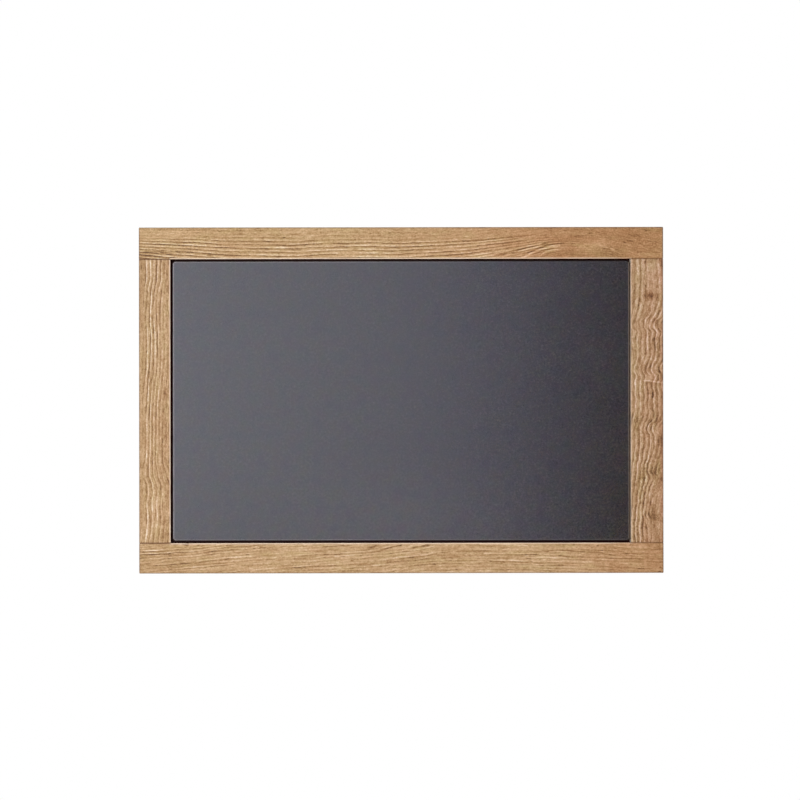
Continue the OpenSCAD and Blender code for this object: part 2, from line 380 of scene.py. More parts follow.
def wood(name, along, seed, ring, path, lines, tone, tint, dark=1.0, pale=1.0, speck=1.0, dash=1.0, contrast=1.9, run=(24.0, 34.0), keep=(-0.7, 0.35), floor=0.55, wide=0.0, cast=(255, 255, 255), red=(238, 206, 190)):
    """Planed, oiled hardwood with open pores.

    along: 'X' for a rail, 'Z' for a stile. ring: spacing of the growth rings on the face, mm.
    path(nb, l, w, t): where the grain runs, as the ring coordinate in mm. lines(nb, l, w): how strong the rings show.
    tone(nb, l, w): lightness added. tint(nb, l, w): 0 plain to 1 red-brown.
    dark, pale, speck, dash: how strong the dark lines, pale lines, specks and pores show.
    run: about how long a stretch of a dark and of a pale line is, mm. keep: how much of the lines is left, lower is more.
    floor: strength of the weakest ring. wide: how much wider than usual the dark lines are.
    cast: colour of this piece of wood against the others. red: colour of the red-brown parts.
    """
    nb = Nodes(name)
    if along == "X":
        l, w = nb.x, nb.z
    else:
        l, w = nb.z, nb.x
    t = nb.y - (Y_FRONT / 2)
    g = path(nb, l, w, t)
    g = g + 0.60 * nb.noise(l / 36, w / 9, t / 9, 2, 0.55, seed) + 0.34 * nb.noise(l / 7, w / 4, t / 4, 2, 0.55, seed + 6)
    u = g / ring
    k = nb.floor(u)
    f = nb.frac(u)
    # each ring has a dark open-pored line with a pale line beside it, and both are broken into dashes
    dline = nb.levels(f, [(0.0, 0.10), (0.10, 1.0), (0.22 + wide, 0.85), (0.36 + wide, 0.05), (1.0, 0.10)])
    pline = nb.levels(f, [(0.0, 0.0), (0.24 + wide, 0.0), (0.38 + wide, 0.75), (0.48 + wide, 1.0), (0.62 + wide, 0.30), (0.80 + wide, 0.0)])
    bd = nb.step(nb.noise(l / run[0], g / 2.6, t / 2.6, 2, 0.55, seed + 7), keep[0], keep[1], 0.15, 1.05)
    bp = nb.step(nb.noise(l / run[1], g / 2.6, t / 2.6, 2, 0.55, seed + 11), keep[0], keep[1], 0.15, 1.05)
    bead = nb.noise(l / 4.0, g / 2.0, t / 2.0, 2, 0.6, seed + 14)
    show = lines(nb, l, w)
    dl = dark * show * (floor + (1 - floor) * nb.chance(k, seed + 0.37)) * dline * bd * (0.9 + 0.5 * bead)
    pl = pale * show * (floor + (1 - floor) * nb.chance(k, seed + 0.71)) * pline * bp * (0.9 - 0.45 * bead)
    # fibres, specks and pores, long along the grain
    fibre = nb.noise(l / 46, g / 1.5, t / 1.5, 3, 0.6, seed + 1)
    spk = nb.noise(l / 6.0, g / 1.7, t / 1.7, 2, 0.6, seed + 2)
    iso = nb.noise(l / 1.9, w / 1.6, t / 1.6, 2, 0.65, seed + 12)
    fine = nb.noise(l / 5, g / 0.5, t / 0.5, 2, 0.6, seed + 8)
    pore = nb.step(nb.noise(l / 8, g / 1.2, t / 1.2, 1, 0.5, seed + 3), 0.32, 0.75)
    fleck = nb.step(nb.noise(l / 10, g / 1.4, t / 1.4, 1, 0.5, seed + 9), 0.35, 0.85)
    broad = nb.noise(l / 45, w / 12, t / 12, 2, 0.5, seed + 4)
    soft = nb.noise(l / 9, w / 5, t / 5, 2, 0.5, seed + 13)
    s = 0.535 - 0.44 * dl + 0.36 * pl + 0.08 * fibre + speck * (0.065 * spk + 0.085 * iso) + 0.04 * fine + 0.05 * broad + 0.04 * soft
    s = s - 0.20 * dash * pore * (0.5 + 0.5 * dline) + 0.10 * dash * fleck
    s = (s - 0.52) * contrast + 0.55 + tone(nb, l, w)
    colour = nb.ramp(s, WOOD)
    hue = nb.noise(l / 26, w / 8, t / 8, 2, 0.55, seed + 5)
    colour = nb.mix(1.0, colour, lin(*cast), "MULTIPLY")
    colour = nb.mix(nb.lerp(tint(nb, l, w) + 0.30 * hue, 0.0, 1.0, 0.0, 1.0), colour, lin(*red), "MULTIPLY")
    colour = nb.mix(nb.lerp(hue, -0.05, -0.7, 0.0, 0.55), colour, lin(246, 252, 226), "MULTIPLY")
    if along == "X":
        colour = nb.mix(nb.step(nb.abs(nb.x - CX), (X1 - X0) / 2 - 0.7, (X1 - X0) / 2 - 0.1) * 0.9, colour, lin(214, 190, 168), "MULTIPLY")
    # the eased edges round the opening get a pale painted highlight, weaker to the right, and the outside edges get
    # painted shade, strongest on the right; the joints are dark
    dx_l, dx_r, dz_t, dz_b = nb.x - OX_L, OX_R - nb.x, OZ_T - nb.z, nb.z - OZ_B
    inside = nb.min(nb.min(dx_l, dx_r), nb.min(dz_t, dz_b))  # above 0 in the opening
    outside = nb.min(nb.min(nb.x - X0, X1 - nb.x), nb.min(nb.z - Z0, Z1 - nb.z))  # 0 at the outline
    edge_light_vary = 0.80 + 0.30 * nb.noise(l / 17, w / 30, t / 30, 2, 0.6, seed + 10)
    front = nb.step(nb.y, Y_FRONT + 0.9, Y_FRONT + 0.5)
    colour = nb.mix(nb.step(inside, -1.85, -0.95) * front * edge_light_vary * nb.step(nb.x, 40, 200, 1.0, 0.80) * nb.step(nb.x, OX_R - 30, OX_R - 5, 0.85, 0.31), colour, lin(247, 224, 201))
    edge = nb.max(nb.step(nb.y, Y_FRONT + 3.0, Y_FRONT + 1.2), nb.step(nb.y, -2.0, -0.8) * 0.6)
    colour = nb.mix(nb.step(outside, 1.9, 0.5) * edge_light_vary * nb.step(nb.x, X1 - 30, X1 - 2, 0.55, 0.76) * nb.max(edge, 0.16), colour, lin(98, 74, 58))
    seam = nb.step(nb.min(nb.abs(dz_t), nb.abs(dz_b)), 1.5, 0.45) * nb.step(nb.min(dx_l, dx_r), 0.3, -0.3)
    colour = nb.mix(seam * nb.step(nb.x, 0, 50, 0.68, 0.42), colour, lin(102, 62, 32))
    # painted shade: the walls inside the opening are coloured dark red-brown where the gap is in shadow, but the one on
    # the right is made pale as painted light from the left
    gap_shade_mask = nb.step(nb.y, Y_FRONT + 0.7, Y_FRONT + 1.6) * nb.step(nb.y, -4.2, -4.6) * nb.step(inside, -0.6, -0.25)
    lit_right_wall = nb.step(nb.x, OX_R - 2.0, OX_R - 1.0)
    colour = nb.mix(gap_shade_mask * (1.0 - lit_right_wall) * 0.96, colour, lin(58, 14, 6))
    colour = nb.mix(gap_shade_mask * lit_right_wall * 0.9, colour, lin(255, 243, 226))
    rough = 0.52 + 0.06 * fine + 0.04 * spk - 0.10 * (s - 0.5) + 0.06 * pore
    height = 0.25 * pl - 0.30 * dl - 0.50 * pore * (0.4 + 0.6 * dline) + 0.15 * fibre + 0.20 * spk + 0.10 * fine
    return nb.surface(colour, rough, nb.bump(height, 0.00030, 0.8), specular=0.35)


def top_path(nb, l, w, t):
    run = nb.curve(l, [(-300, 0.0), (-278, -0.8), (-251, -1.8), (-223, -3.1), (-196, -4.8), (-168, -5.3), (-127, -5.6), (-100, -4.4), (-72, -3.4), (-31, -3.3), (-10, -3.9), (24, -2.9), (51, -1.8), (79, -0.4), (106, 1.9), (134, 4.8), (170, 8.0), (215, 9.0), (250, 6.5), (280, 2.5), (300, 0.5)])
    fan = nb.curve(l, [(-300, 1.26), (-251, 1.10), (-196, 1.0), (-141, 0.94), (-72, 0.96), (24, 1.02), (79, 1.12), (134, 1.16), (200, 1.0)])
    rise = nb.curve(l, [(40, 0.0), (90, 0.03), (130, 0.18), (165, 0.54), (200, 0.9), (226, 0.86), (252, 0.52), (276, 0.2), (300, 0.05)])
    arch = 24.0 * rise * nb.exp((OZ_T - w) / 15)
    wave = 0.5 * nb.noise(l / 90, w / 30, t / 30, 1, 0.5, 3.1)
    a = (w - run - arch) * fan + wave + 150.7
    b = t - 46
    return nb.sqrt(a * a + b * b)


def top_lines(nb, l, w):
    plain = nb.step(w + 2.6 * nb.noise(l / 50, w / 20, w * 0, 1, 0.5, 7), OZ_T + 27, OZ_T + 19, 0.22, 1.0)
    crown = 1.0 - 0.85 * nb.bell(l, 206, 24)
    return plain * crown * nb.step(l, 196, 236, 1.0, 0.22) * nb.step(l, 80, 130, 1.0, 0.62) * (0.97 + 0.22 * nb.bell(l, -275, 60))


def bottom_path(nb, l, w, t):
    run = nb.curve(l, [(-300, -9), (-250, -5), (-180, 1.5), (-110, 6), (-40, 10), (10, 13.5), (50, 16), (100, 16.4), (160, 15), (220, 13), (300, 11)])
    lift = nb.curve(l, [(-60, 0), (-20, 1.6), (20, 5.0), (50, 6.5), (90, 7.0)]) * nb.exp((w - OZ_B) / 9)
    wave = 1.4 * nb.noise(l / 40, w / 12, t / 12, 2, 0.5, 9.4)
    a = (w - run - lift + wave) + 520
    b = t - 40
    return nb.sqrt(a * a + b * b)


def left_path(nb, l, w, t):
    run = nb.curve(l, [(-344, -289.5), (-327, -287.4), (-313, -286.2), (-300, -287.2), (-286, -285.5), (-272, -287.9), (-262, -289.6), (-252, -289.4), (-238, -288.5), (-204, -288.2), (-183, -287.5), (-169, -286.5), (-156, -285.3), (-149, -284.0), (-128, -283.1), (-108, -282.9), (-87, -283.8), (-66, -282.8), (-53, -281.8), (-39, -279.6), (-20, -279.0)])
    fan = nb.curve(l, [(-344, 0.78), (-275, 0.76), (-255, 0.92), (-240, 1.05), (-200, 1.05), (-150, 0.98), (-80, 1.02), (-50, 1.0), (-20, 0.88)])
    wave = 0.4 * nb.noise(l / 28, w / 14, t / 14, 1, 0.5, 5.2)
    a = (w - run) * fan + wave + 137.2
    b = t - 30
    return nb.sqrt(a * a + b * b)


def right_path(nb, l, w, t):
    side = nb.step(w, OX_R + 4, OX_R + 27)
    run = nb.curve(l, [(-344, 267.4), (-327, 266.3), (-313, 267.4), (-300, 268.8), (-286, 270.0), (-272, 272.1), (-259, 273.3), (-245, 275.7), (-231, 277.0), (-217, 277.1), (-211, 277.9), (-204, 279.8), (-190, 281.9), (-176, 282.3), (-162, 281.5), (-155, 282.4), (-148, 280.6), (-138, 283.0), (-127, 284.0), (-112, 283.6), (-104, 285.2), (-96, 283.0), (-86, 286.6), (-70, 291.0), (-58, 292.4), (-20, 292.8)])
    kink = nb.curve(l, [(-344, 0.5), (-328, 2.4), (-316, 1.0), (-307, -3.2), (-296, -2.0), (-281, -0.8), (-270, 2.6), (-262, -1.8), (-252, -0.6), (-240, 1.0), (-228, 2.2), (-221, 1.6), (-213, -2.8), (-207, -0.4), (-199, 2.6), (-188, 0.0), (-174, 0.4), (-165, -0.8), (-154, 1.8), (-146, -1.8), (-135, 0.4), (-118, 1.2), (-104, 0.8), (-96, -1.4), (-84, 0.6), (-66, 1.6), (-45, 0.0), (-20, -0.4)])
    fan = nb.curve(l, [(-344, 1.15), (-300, 1.10), (-240, 1.0), (-176, 0.95), (-120, 0.98), (-95, 0.90), (-60, 0.80), (-20, 0.80)])
    ripple = 1.15 * nb.noise(l / 9, w / 18, t / 18, 2, 0.55, 2.6)
    lean = 0.75 * (nb.y - Y_FRONT)
    a = (w - run - 0.85 * kink * side * face(nb)) * fan + ripple + lean + 339.0
    b = t - 30
    return nb.sqrt(a * a + b * b)


def top_tone(nb, l, w):
    even = nb.step(l, -200, -60, -0.02, 0.012) + nb.step(l, 90, 200, 0.0, -0.07) + 0.03 * nb.bell(l, 75, 70)
    spots = marks(nb, l, w, [(-0.14, (-288, -13), (20, 6)), (0.08, (226, -2), (14, 5)), (-0.12, (197, -14), (9, 4)), (0.10, (146, -16.4), (7, 1.8), 0.3), (-0.06, (272, 4), (26, 8)),
        (0.10, (85, -15.4), (11, 1.8), 0.12), (0.17, (100, -15.2), (15, 3.2), 0.05), (-0.05, (148, -14.5), (9, 3.2), 0.2), (0.08, (194, -14.5), (9, 4)), (-0.13, (236, -12), (9, 6)), (-0.15, (248, -13), (8, 4.5)), (0.15, (242.4, -8.9), (2.6, 1.3)), (0.13, (282, -14), (17, 3.0)), (0.05, (285, 5), (14, 8)), (-0.15, (130, -13.6), (8, 2.2), 0.3), (-0.13, (165, -15.2), (6, 2.6), 0.5), (-0.08, (181, -15), (5, 3)), (0.07, (208, -6), (9, 5)), (0.04, (168, 6), (20, 8))])
    arcs = 0.34 * vein(nb, l, w, [(134, -19.6), (141.4, -16.7), (148.5, -13.5), (157, -9.8), (165.7, -7.1), (174.3, -5.3), (188, -4.0)], 1.0, 1.2, 0.6)
    arcs = arcs + 0.24 * vein(nb, l, w, [(112, -16.0), (122, -14.1), (133, -11.6), (143, -8.8), (153, -6.4), (166, -3.6)], 0.8, 1.3, 0.6)
    arcs = arcs + 0.30 * vein(nb, l, w, [(154, -20), (159.3, -16), (163.5, -12.8), (168, -10.8), (176, -9.2), (188, -8.0)], 0.9, 1.7, 0.6)
    arcs = arcs + 0.16 * vein(nb, l, w, [(219, -3.2), (230, -4.9), (237, -7.0), (243, -9.2), (249, -12.4), (254, -17.0)], 0.9, 1.4, 0.6)
    arcs = arcs + 0.18 * vein(nb, l, w, [(140, -4.6), (150, -3.9), (158, -2.4), (168, -0.6)], 0.7, 1.9)
    arcs = arcs - 0.34 * vein(nb, l, w, [(136, -16.6), (143, -13.6), (151.4, -9.8), (160, -6.4), (168.5, -4.1), (177, -2.5), (192, -0.8)], 0.75, 1.5, 0.5)
    arcs = arcs - 0.30 * vein(nb, l, w, [(104, -15.2), (122.8, -12.0), (132.8, -9.6), (142.8, -6.8), (152.8, -4.6), (161.4, -2.7), (174, -0.4)], 0.75, 1.8, 0.4, 0.4)
    arcs = arcs - 0.18 * vein(nb, l, w, [(68, -0.2), (85.6, 1.1), (105.6, 3.3), (128.5, 5.4), (152.8, 8.3), (160, 9.2)], 0.7, 2.0, 0.3, -0.6)
    arcs = arcs - 0.20 * vein(nb, l, w, [(149, -16.0), (156, -12.4), (163, -9.7), (172, -7.8), (182, -6.6)], 0.75, 2.1, 0.5)
    arcs = arcs - 0.22 * vein(nb, l, w, [(79, -5.0), (92, -4.1), (106, -2.5), (120, -1.3), (134, 0.4), (147, 2.4)], 0.75, 2.6, 0.5, 0.5)
    arcs = arcs - 0.10 * vein(nb, l, w, [(232, 2.0), (252, 0.2), (271, 1.4), (292, 2.2)], 0.6, 1.6)
    arcs = arcs - 0.13 * vein(nb, l, w, [(262, -11.0), (272, -11.8), (285, -12.1), (299, -12.6)], 0.7, 2.7)
    arcs = arcs + 0.26 * vein(nb, l, w, [(-282, -11.0), (-277, -12.4), (-271, -14.2), (-260, -16.3)], 0.8, 2.8, 0.6, 0.7)
    arcs = arcs - 0.20 * vein(nb, l, w, [(-300, -10.0), (-290, -10.3), (-278, -11.1), (-264, -12.3), (-251, -13.3)], 0.7, 2.9, 0.5, 0.5)
    dashes = 0.16 * nb.noise(l / 3.2, w / 1.7, w * 0, 2, 0.55, 8.3) * mark(nb, l, w, (269, -3), (17, 7))
    return even + face(nb) * (spots + 1.25 * arcs + dashes)


top_wood = wood(
    "wood_top_rail", "X", 1.0, 3.76, top_path, top_lines, top_tone,
    lambda nb, l, w: nb.step(l, -60, 190, 0.04, 0.66) - 0.30 * mark(nb, l, w, (234, -12), (18, 8)) + 0.16 * mark(nb, l, w, (182, -15), (12, 4)),
    dark=0.62, pale=0.80, speck=1.55, run=(26.0, 36.0), wide=0.05, cast=(255, 254, 243),
)


def bottom_tone(nb, l, w):
    even = nb.step(l, -250, -150, -0.07, -0.02) + nb.step(l, 160, 300, 0.0, -0.02)
    spots = marks(nb, l, w, [
        (-0.50, (-245.5, -346.4), (2.4, 1.1)), (-0.30, (-248.5, -345.6), (2.0, 0.9)), (-0.36, (-33, -349), (8, 1.6), 0.35), (-0.28, (-18, -351), (9, 1.2), 0.3), (0.30, (224.7, -346.4), (2.4, 1.2)),
        (-0.24, (30, -346.5), (6, 1.2), 0.25), (-0.22, (16, -349.5), (7, 1.1), 0.25), (0.10, (-238, -358), (9, 8)),
    ])
    lines = -0.36 * vein(nb, l, w, [(92, -364.6), (106, -365.9), (120, -366.0), (134, -366.5), (147, -366.9), (161, -367.6), (189, -368.3), (216, -368.4)], 0.75, 2.2, 0.1, 0.4)
    lines = lines - 0.34 * vein(nb, l, w, [(140, -353.3), (161, -353.7), (182, -353.0), (200, -354.4), (226, -355.5), (243, -358.2), (262, -357.0), (298, -357.8)], 0.8, 2.3, 0.1, 0.4)
    lines = lines - 0.26 * vein(nb, l, w, [(-290, -371.0), (-264, -368.8), (-237, -366.8), (-210, -363.6), (-182, -361.5), (-160, -360.6)], 0.75, 2.4, 0.1, 0.5)
    lines = lines - 0.36 * vein(nb, l, w, [(-127, -372.6), (-100, -370.7), (-72, -369.8), (-45, -367.7), (-31, -366.1), (-17, -364.8), (-4, -362.8), (10, -361.4), (24, -359.9), (38, -357.2), (51, -355.0), (65, -354.2), (92, -353.6), (108, -353.5)], 0.75, 2.5, 0.1, 0.5)
    lines = lines - 0.30 * vein(nb, l, w, [(-122, -359.2), (-100, -358.0), (-86, -357.4), (-59, -356.6), (-45, -355.8), (-31, -354.2), (-17, -351.2), (-10, -349.6)], 0.75, 3.1, 0.1, 0.5)
    lines = lines - 0.26 * vein(nb, l, w, [(-26, -359.0), (-17, -357.2), (-4, -354.7), (10, -353.2), (24, -351.1), (32, -349.6)], 0.75, 3.2, 0.1, 0.5)
    lines = lines - 0.20 * vein(nb, l, w, [(70, -358.3), (92, -357.9), (120, -358.0), (140, -358.2), (161, -359.0), (202, -360.2)], 0.7, 3.3, 0.1, 0.5)
    lines = lines - 0.22 * vein(nb, l, w, [(-237, -370.7), (-210, -367.7), (-182, -365.8), (-155, -363.7), (-127, -362.4), (-100, -361.6)], 0.7, 3.4, 0.1, 0.5)
    lines = lines - 0.22 * vein(nb, l, w, [(-130, -366.5), (-100, -366.0), (-72, -364.8), (-45, -362.6), (-31, -360.8)], 0.7, 3.5, 0.1, 0.5)
    lines = lines - 0.46 * vein(nb, l, w, [(-301, -357.0), (-278, -357.3), (-262, -357.3), (-250, -358.0)], 0.7, 3.6, 0.1, 0.5)
    lines = lines - 0.40 * vein(nb, l, w, [(-301, -353.8), (-278, -353.9), (-262, -353.5)], 0.7, 3.7, 0.1, 0.5)
    lines = lines - 0.22 * vein(nb, l, w, [(-228, -353.5), (-196, -353.2), (-180, -353.1), (-168, -351.4)], 0.7, 3.8, 0.1, 0.5)
    lines = lines - 0.22 * vein(nb, l, w, [(-110, -353.8), (-92, -353.6), (-78, -353.0), (-62, -352.2)], 0.7, 3.9, 0.1, 0.5)
    lines = lines - 0.18 * vein(nb, l, w, [(-190, -369.6), (-168, -369.2), (-146, -369.3)], 0.7, 4.1, 0.1, 0.5)
    return even + face(nb) * (spots + 0.62 * lines)


bottom_wood = wood(
    "wood_bottom_rail", "X", 2.0, 3.05, bottom_path,
    lambda nb, l, w: 0.58 + 0.40 * nb.noise(l / 60, w / 9, w * 0, 1, 0.5, 3.3) + 0.5 * mark(nb, l, w, (-278, -354), (24, 7)),
    bottom_tone,
    lambda nb, l, w: nb.step(l, 150, 290, 0.05, 0.53),
    dark=0.62, pale=0.84, speck=1.25, dash=1.2, contrast=2.0, run=(34.0, 42.0), keep=(-0.35, 0.55), cast=(255, 255, 252),
)


def left_blot(nb, l, w):
    """Brown blotches beside the opening."""
    return nb.step(nb.noise(l / 9, w / 5, w * 0, 2, 0.6, 4.4), -0.1, 0.7) * nb.step(w, OX_L - 15, OX_L - 7)


def left_tone(nb, l, w):
    even = 0.025 * nb.step(l, -190, -160) * nb.bell(w, OX_L - 18, 7) + nb.step(l, -200, -150, 1.0, 0.0) * nb.step(w, OX_L - 16, OX_L - 6, 0.035, -0.03) - nb.step(w, OX_L - 14, OX_L - 6, 0.02, 0.0) - 0.055 - nb.step(w, X0 + 12, X0 + 6, 0.0, 0.03)
    spots = marks(nb, l, w, [
        (0.16, (-301.5, -282.8), (6, 1.8)), (0.14, (-238, -268.5), (12, 2.2)), (-0.12, (-256, -296), (2.5, 4)), (-0.16, (-316, -287.5), (6, 1.6)),
        (-0.20, (-99, -282.6), (2.2, 1.2)), (-0.18, (-86, -285), (3, 1.4)), (-0.14, (-154, -287.5), (5, 2)),
    ])
    lines = 0.30 * vein(nb, l, w, [(-112.0, -280.3), (-94.3, -279.7), (-84.1, -281.0), (-68.9, -279.0), (-53.6, -279.0)], 0.85, 3.1, 0.5, 0.6)
    lines = lines + 0.27 * vein(nb, l, w, [(-180.7, -291.7), (-152.7, -291.1), (-140.0, -289.2), (-112.0, -287.9), (-86.6, -287.9)], 0.8, 3.2, 0.5, 0.6)
    lines = lines + 0.28 * vein(nb, l, w, [(-182.0, -283.6), (-170.6, -282.9), (-155.3, -281.5), (-129.9, -281.0), (-104.5, -281.4), (-91.8, -283.5)], 0.8, 3.3, 0.5, -0.6)
    lines = lines + 0.22 * vein(nb, l, w, [(-196.0, -279.6), (-180.7, -279.0), (-155.3, -277.6), (-137.5, -278.4)], 0.75, 3.4, 0.5, 0.5)
    lines = lines + 0.22 * vein(nb, l, w, [(-319.3, -271.5), (-297.7, -271.7), (-277.3, -273.3), (-257.0, -276.2), (-232.8, -277.8), (-212.0, -277.8)], 0.85, 3.5, 0.5, -0.5)
    lines = lines + 0.18 * vein(nb, l, w, [(-276.1, -277.6), (-267.1, -279.7), (-251.9, -281.5), (-226.4, -282.2), (-206.0, -282.0)], 0.8, 3.6, 0.5, -0.6)
    lines = lines + 0.20 * vein(nb, l, w, [(-332.0, -283.5), (-321.8, -281.7), (-297.7, -282.4), (-285.0, -282.2), (-264.6, -284.7), (-248.0, -286.0)], 0.85, 3.7, 0.5, 0.6)
    lines = lines + 0.24 * vein(nb, l, w, [(-336.0, -292.9), (-302.7, -293.4), (-277.3, -294.3), (-262.0, -295.5)], 0.8, 3.8, 0.5, 0.5)
    lines = lines + 0.22 * vein(nb, l, w, [(-232.0, -288.4), (-215.0, -288.6), (-198.0, -288.2)], 0.75, 3.9, 0.5, 0.5)
    lines = lines + 0.24 * vein(nb, l, w, [(-62.0, -283.4), (-44.8, -283.0), (-37.1, -284.1), (-20.0, -284.9)], 0.8, 4.1, 0.5, 0.5)
    swirl = 0.14 * nb.noise(l / 6, w / 3, w * 0, 2, 0.55, 4.9) * nb.step(w, OX_L - 14, OX_L - 8)
    return even + face(nb) * (spots + 0.5 * lines + swirl - 0.15 * left_blot(nb, l, w))


left_wood = wood(
    "wood_left_stile", "Z", 3.0, 3.94, left_path,
    lambda nb, l, w: nb.step(w + 2.5 * nb.noise(l / 45, w / 20, w * 0, 1, 0.5, 1.7), OX_L - 13, OX_L - 5, 1.0, 0.35) * nb.step(l, -260, -190, 0.80, 1.0) * nb.step(w + 1.4 * nb.noise(l / 30, w / 20, w * 0, 1, 0.5, 2.9), X0 + 5, X0 + 9.5, 0.18, 1.0),
    left_tone,
    lambda nb, l, w: nb.step(w, OX_L - 20, OX_L - 4, 0.02, 0.10) + 0.25 * left_blot(nb, l, w),
    dark=0.52, pale=0.96, contrast=1.85, run=(24.0, 40.0), speck=1.55, dash=0.8, floor=0.40, wide=0.06,
)


def right_blot(nb, l, w):
    """Soft pinkish-brown blotches."""
    return nb.step(nb.noise(l / 8, w / 6, w * 0, 2, 0.5, 6.1), 0.0, 0.8)


def right_lines(nb, l, w):
    """Strong wavy lines beside the opening, plain wood at the outside in the lower half and at the top."""
    outer = nb.step(w + 3.0 * nb.noise(l / 16, w / 30, w * 0, 1, 0.5, 5.5), OX_R + 19, OX_R + 27)
    plain = nb.min(1.0, marks(nb, l, w, [(1.0, (-290, 293), (14, 6)), (1.0, (-324.5, 291), (13, 7)), (1.0, (-35, 287), (18, 8)), (0.9, (-218, 293.5), (8, 4))]))
    return nb.max(0.0, 1.0 - 0.55 * outer * nb.step(l, -195, -225) - 0.85 * plain) * nb.step(l, -200, -150, 1.0, 0.88) * nb.step(l, -75, -45, 1.0, 0.8)


def right_tone(nb, l, w):
    even = nb.step(l, -210, -120, -0.06, 0.0) + 0.03 * nb.step(l, -190, -230) * nb.bell(w, OX_R + 17, 8) - 0.03 * nb.step(l, -190, -230) * nb.step(w, OX_R + 20, OX_R + 27) + nb.step(w, OX_R + 4, OX_R + 14, -0.045, 0.0) + nb.step(w, OX_R + 4, OX_R + 30, 0.02, -0.02) + 0.02 * nb.step(l, -190, -150) * nb.step(w, OX_R + 10, OX_R + 24)
    spots = marks(nb, l, w, [
        (-0.34, (-62, 286), (4.5, 8)), (-0.16, (-93, 292), (4.5, 3.5)), (-0.14, (-104, 280), (4, 4)), (-0.12, (-118, 282.5), (5, 3)),
        (-0.14, (-122.6, 293), (6, 3)), (-0.16, (-144.5, 280), (5, 6)), (-0.16, (-152, 296), (6, 4)), (-0.14, (-205, 279), (4, 11)),
        (-0.18, (-226, 297), (8, 2.5)), (-0.12, (-262, 285), (4, 9)), (-0.20, (-313, 287.5), (9, 5)), (-0.16, (-84, 278.5), (9, 2.0), 0.32),
        (-0.20, (-86, 285.0), (8, 1.6), 0.36), (-0.16, (-114, 288.0), (7, 1.7), 0.4), (-0.18, (-206, 292.5), (5, 2.0), 0.6),
        (0.10, (-35, 287), (15, 5)), (0.16, (-218, 293), (8, 3)), (0.08, (-290, 293), (12, 5)), (0.14, (-327, 294), (6, 4)),
    ])
    lines = 0.30 * vein(nb, l, w, [(-132.4, 281.5), (-117.2, 282.0), (-103.2, 281.5), (-94.2, 282.0), (-82.8, 288.0), (-68.0, 289.9)], 0.9, 6.1, 0.55, -0.5)
    lines = lines + 0.26 * vein(nb, l, w, [(-98.0, 285.0), (-90.5, 286.5), (-81.6, 291.0), (-68.0, 295.0)], 0.85, 6.2, 0.6, -0.5)
    lines = lines + 0.24 * vein(nb, l, w, [(-132.0, 288.4), (-120.9, 289.0), (-114.7, 292.4), (-103.2, 295.4), (-96.0, 296.4)], 0.85, 6.3, 0.6, -0.5)
    lines = lines - 0.28 * vein(nb, l, w, [(-82.0, 271.0), (-66.3, 272.3), (-40.9, 273.8), (-18.0, 273.0)], 0.85, 6.4, 0.6, -0.7)
    lines = lines - 0.20 * vein(nb, l, w, [(-76.0, 278.6), (-60.0, 279.4), (-38.0, 280.6), (-18.0, 280.2)], 0.8, 6.5, 0.5, 0.6)
    lines = lines - 0.24 * vein(nb, l, w, [(-56.0, 292.0), (-46.0, 293.6), (-34.0, 295.6)], 0.9, 6.6, 0.7, 0.5)
    lines = lines + 0.28 * vein(nb, l, w, [(-270.0, 282.0), (-259.5, 282.7), (-246.8, 286.5), (-231.6, 290.9), (-222.6, 290.3), (-212.5, 287.7), (-197.0, 296.0)], 0.85, 6.7, 0.6, -0.7)
    lines = lines + 0.26 * vein(nb, l, w, [(-306.0, 288.0), (-290.0, 286.5), (-277.3, 287.7), (-269.7, 292.2), (-258.2, 293.4), (-247.0, 298.0)], 0.85, 6.8, 0.6, -0.7)
    lines = lines + 0.24 * vein(nb, l, w, [(-343.4, 284.5), (-332.0, 283.3), (-317.9, 280.8), (-306.0, 283.6)], 0.85, 6.9, 0.6, -0.6)
    across = vein(nb, w, l, [(270.0, -158.8), (282.0, -159.2), (290.0, -160.2), (306.0, -161.8)], 0.8, 7.1, 0.6, -0.4)
    figure = 0.06 * nb.noise(l / 3.4, w / 6.5, w * 0, 2, 0.55, 7.7) + 0.06 * nb.noise(l / 8, w / 7, w * 0, 1, 0.5, 7.9)
    return even - 0.03 * (1.0 - face(nb)) + face(nb) * (spots + 0.6 * lines + 0.30 * across + figure - 0.20 * right_blot(nb, l, w))


right_wood = wood(
    "wood_right_stile", "Z", 4.0, 5.0, right_path, right_lines, right_tone,
    # the red-brown band along the front's outer right edge is painted shade
    lambda nb, l, w: 0.08 + 0.14 * nb.step(w, OX_R + 6, OX_R + 26) + face(nb) * (0.40 * nb.step(w, X1 - 6, X1 - 1) + 0.25 * right_blot(nb, l, w) + 0.30 * mark(nb, l, w, (-62, 286), (5, 9))),
    dark=0.41, pale=0.68, contrast=2.05, run=(20.0, 26.0), keep=(-0.65, 0.45), floor=0.45, wide=0.17, cast=(250, 249, 255), red=(246, 210, 206), speck=1.6, dash=0.7,
)


# ---------------------------------------------------------------- frame members
# painted shade: a dark red-brown for the walls of the opening, which stand in deep shadow in the gap
nb = Nodes("gap_wall_shade")
g = nb.noise(nb.x / 12, nb.z / 12, nb.y / 1.2, 3, 0.6, 15)
GAP_SHADE = nb.surface(nb.ramp(0.5 + 0.3 * g, [(0.0, lin(64, 12, 3)), (0.5, lin(82, 17, 5)), (1.0, lin(100, 26, 10))]), 0.85 + 0.05 * g, nb.bump(g, 0.0001, 0.5), specular=0.0)


def shade_gap_walls(ob, along):
    """The walls of the opening get the dark painted-shade colour, but for the one on the right."""
    ob.data.materials.append(GAP_SHADE)
    for f in ob.data.polygons:
        n, c = f.normal, f.center * 1000
        wall = n.z if along == "X" else n.x
        if abs(wall) < 0.95 or not Y_FRONT + 0.5 < c.y < -4.0:
            continue
        if min(abs(c.z - OZ_T), abs(c.z - OZ_B), abs(c.x - OX_L)) < 0.05 and OX_L - 0.1 < c.x < OX_R + 0.1:
            f.material_index = 1


